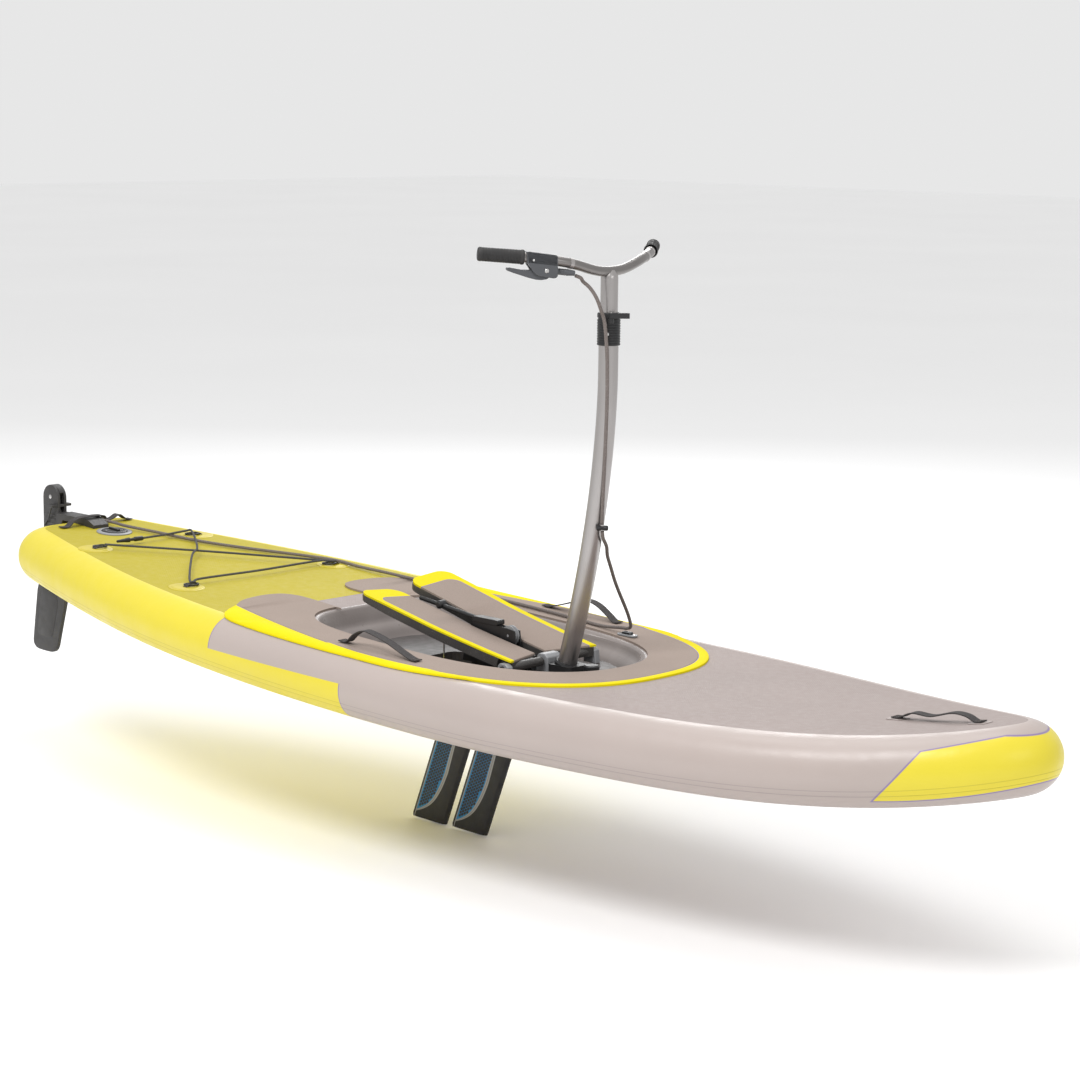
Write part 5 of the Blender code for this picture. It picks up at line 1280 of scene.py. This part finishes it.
def build_lever():
    middle = 0.179
    centre, out = bar_at(middle, -1)
    across = out.cross(Vector((0, 0, 1))).normalized()

    def local(s, h, n):
        return centre + out * (s - middle) + Vector((0, 0, h)) + across * n

    def add_plate(bm, shape, low, high, bevel):
        part = bmesh.new()
        add_rings(part, [[local(s, h, n) for s, h in shape] for n in (low, high)])
        bevelled(part, bevel, 3, 20)
        merge(bm, part)

    bm = bmesh.new()
    inner, outer = 0.146, 0.2175
    shell = [(inner, 0.0105), (inner + 0.004, 0.013), (outer - 0.004, 0.014), (outer, 0.012),
        (outer, -0.008), (0.214, -0.016), (0.209, -0.022), (0.2045, -0.029), (0.199, -0.034),
        (0.193, -0.037), (0.187, -0.0385), (0.156, -0.04), (0.15, -0.0385), (inner, -0.034)]
    add_plate(bm, [*shell[:4], (outer, -0.013), (inner, -0.013)], -0.0165, 0.0165, 0.0028)
    for side in (-1, 1):
        add_plate(bm, shell, *sorted((side * 0.008, side * 0.0165)), 0.0022)
        add_turned(bm, mm(((-1, 4.8), (0.8, 4.8), (1.6, 3.6), (1.7, 0))),
            local(0.172, -0.0245, side * 0.0163), across * side, 28, paint=1, caps=False)
        add_turned(bm, mm(((-1, 2.6), (0.8, 2.5), (1.2, 0))), local(0.203, -0.004, side * 0.0163),
            across * side, 20, paint=1, caps=False)
    profile = [(-0.006, 0.0078), (0.0, 0.008)]
    for k in range(6):
        profile += [(0.003 + k * 0.0035, 0.0078), (0.0045 + k * 0.0035, 0.007)]
    profile += mm([(25.5, 7.8), (30, 7.2), (43, 6), (43, 4.4)])
    add_turned(bm, profile, local(inner, -0.0235, 0.0), -out, 32)
    finish_piece(bm, "lever_shell", "lever_housing", "housing steel", "stem")
    bm = bmesh.new()
    arm = mm([(158, -30), (159, -24), (161, -20), (168, -16.5), (178, -16.5), (188, -21.5), (205, -26.5),
        (230, -28.5), (258, -26.5), (262, -28), (263, -30.5), (262, -33.5), (259, -35), (245, -38.5),
        (230, -41.5), (212, -45.2), (195, -47.5), (182, -47), (170, -44), (160, -37)])
    add_plate(bm, arm, -0.007, 0.007, 0.0024)
    finish_piece(bm, "lever_arm", "steer_lever", "housing", "steer_lever")


def build_lines():
    radius = 0.0042
    start, out = bar_at(0.1055, -1)
    start = start + Vector((0, 0, -0.0245))
    beside = mm(((957, -10.5, 36.2), (900, -5, 32.5), (860, -3, 28.8), (780, -1, 28), (700, 1.5, 28),
        (610, 6, 27.8), (540, 11, 27.2)))
    upper = [start, start - out * 0.012 + Vector((0.003, 0.001, -0.003)), (0.424, -0.082, 1.0517),
        (0.435, -0.07, 1.0371), (0.4449, -0.0585, 1.0145), (0.449, -0.0475, 0.987),
        *(mast_side(*spot) for spot in beside), mast_side(LINE_SPLIT[0], 0.0165, 0.0262)]
    path = smooth_path(upper, 8)
    bm = bmesh.new()
    add_sweep(bm, path, round_section(radius, 20), up=(0.6, -0.7, 0.2))
    bmesh.ops.recalc_face_normals(bm, faces=bm.faces)
    line = mesh_object("line_upper", bm, "sheath")
    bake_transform(line)
    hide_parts("steering_line_upper")
    mark_cord(line, path, radius, whole=True)
    hanging = mm(((406, 30.5, 427), (389.4, 52.5, 399.8), (374.2, 82, 365.7), (358.8, 111.9, 331.2),
        (339, 150.3, 294.6), (316.8, 193.4, 256.7), (296.4, 233.1, 219.1), (280, 260, 188),
        (263, 265.5, 179.5), (240, 270.5, 177)))
    lying = mm(((160, 282, 10.8), (50, 292, 10.8), (-137, 298, 10.8), (-320, 291, 10.8), (-475, 283, 10.8),
        (-620, 277, 9.8), (-720, 272, 8), (-806, 273.5, 7.6), (-900, 245, 7.2), (-1082.5, 160, 7),
        (-1215, 110, 7.2), (-1344, 84, 7.5), (-1400, 66, 9), (-1457, 47, 11), (-1500, 39.2, 13)))
    lower = [mast_side(LINE_SPLIT[1], 0.02, 0.0262), mast_side(0.452, 0.0245, 0.0235), *hanging,
        *(on_deck(*spot) for spot in lying), (-1.541, 0.0335, 0.2622)]
    cord_curve("line_lower", lower, radius, "sheath", "steering_line_lower", 8)
    bead = mm([(0, 3), (0.8, 5), (2.5, 6.2), (9.5, 6.2), (11.2, 5.2), (12, 4.5), (16, 4.5), (16.8, 5.2),
        (18.5, 6.2), (25.5, 6.2), (27.2, 5), (28, 3)])
    side = Vector(mast_side(0.9, 1, 0)) - Vector(mast_side(0.9, 0, 0))
    bm = bmesh.new()
    add_turned(bm, bead, mast_side(sum(LINE_SPLIT) / 2, 0.0045, 0.0306), side, 32)
    finish_piece(fixed(bm), "line_toggle", "toggle", "black")


def build_saddle():
    """The deck guide that the steering line turns through: a plate with a black arch and two screws."""
    x, y = 0.268, 0.262
    base = deck(x - 0.03) + CLEAR + PAD_T + 0.0004
    bm = bmesh.new()
    add_prism(bm, rounded((x - 0.03, x + 0.03), (y - 0.011, y + 0.011), 0.0105), base, base + 0.004,
        bevel=0.0012)
    add_prism(bm, rounded((x - 0.014, x + 0.014), (base + 0.002, base + 0.01), 0.0035), y - 0.006, y
        + 0.006, "Y", 0.001, paint=1)
    for end in (-0.022, 0.022):
        add_turned(bm, mm(((0, 4.2), (1.2, 3.8), (2, 0))), (x + end, y, base + 0.0038), (0, 0, 1), 20,
            paint=2, caps=False)
    finish_piece(bm, "line_guide", "deck_saddle", "grey black steel")


# ---- CAD pieces that keep their shape, with their finishes ----
def speckled_body():
    """Charcoal composite pedal plank, flecked with pale chips."""
    paint = Paint("pedal_composite", (0.045, 0.042, 0.04), 0.42)
    fleck = paint.spread(paint.noise(620, 2, 0.9), 0.66, 0.7)
    paint.colour(paint.mix(fleck, paint.mottle((0.045, 0.042, 0.04), 18, 0.2), (0.3, 0.28, 0.25)))
    paint.bump(paint.noise(500, 3), 0.0002)
    return paint.material


def finish_cad_nodes():
    PAINTS["composite"] = speckled_body()
    looks = {
        "tray": "drive_tray",
        "grey": "hinge_block_right hinge_block_left hinge_block_centre idler_pulley",
        "steel": "fin_shaft blade_bolt rudder_pin",
        "black": "hinge_axle drive_spine spine_cap drive_handle fin_mast_fore fin_mast_aft mast_base"
                 " base_knob",
        "dark": "rudder_bracket tiller_arm",
        "cam_yellow": "lock_cam_right lock_cam_left",
        "composite": "pedal_right pedal_left",
    }
    for key, names in looks.items():
        for name in names.split():
            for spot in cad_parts[name].material_slots:
                spot.material = PAINTS[key]


build_stage()
build_hull()
build_pads()
build_handles()
build_rings()
build_bungee()
build_valve()
build_fin("fore")
build_fin("aft")
build_rudder()
build_pedal_pads()
build_drive_cables()
build_mast()
build_handlebar()
build_lines()
build_saddle()
finish_cad_nodes()
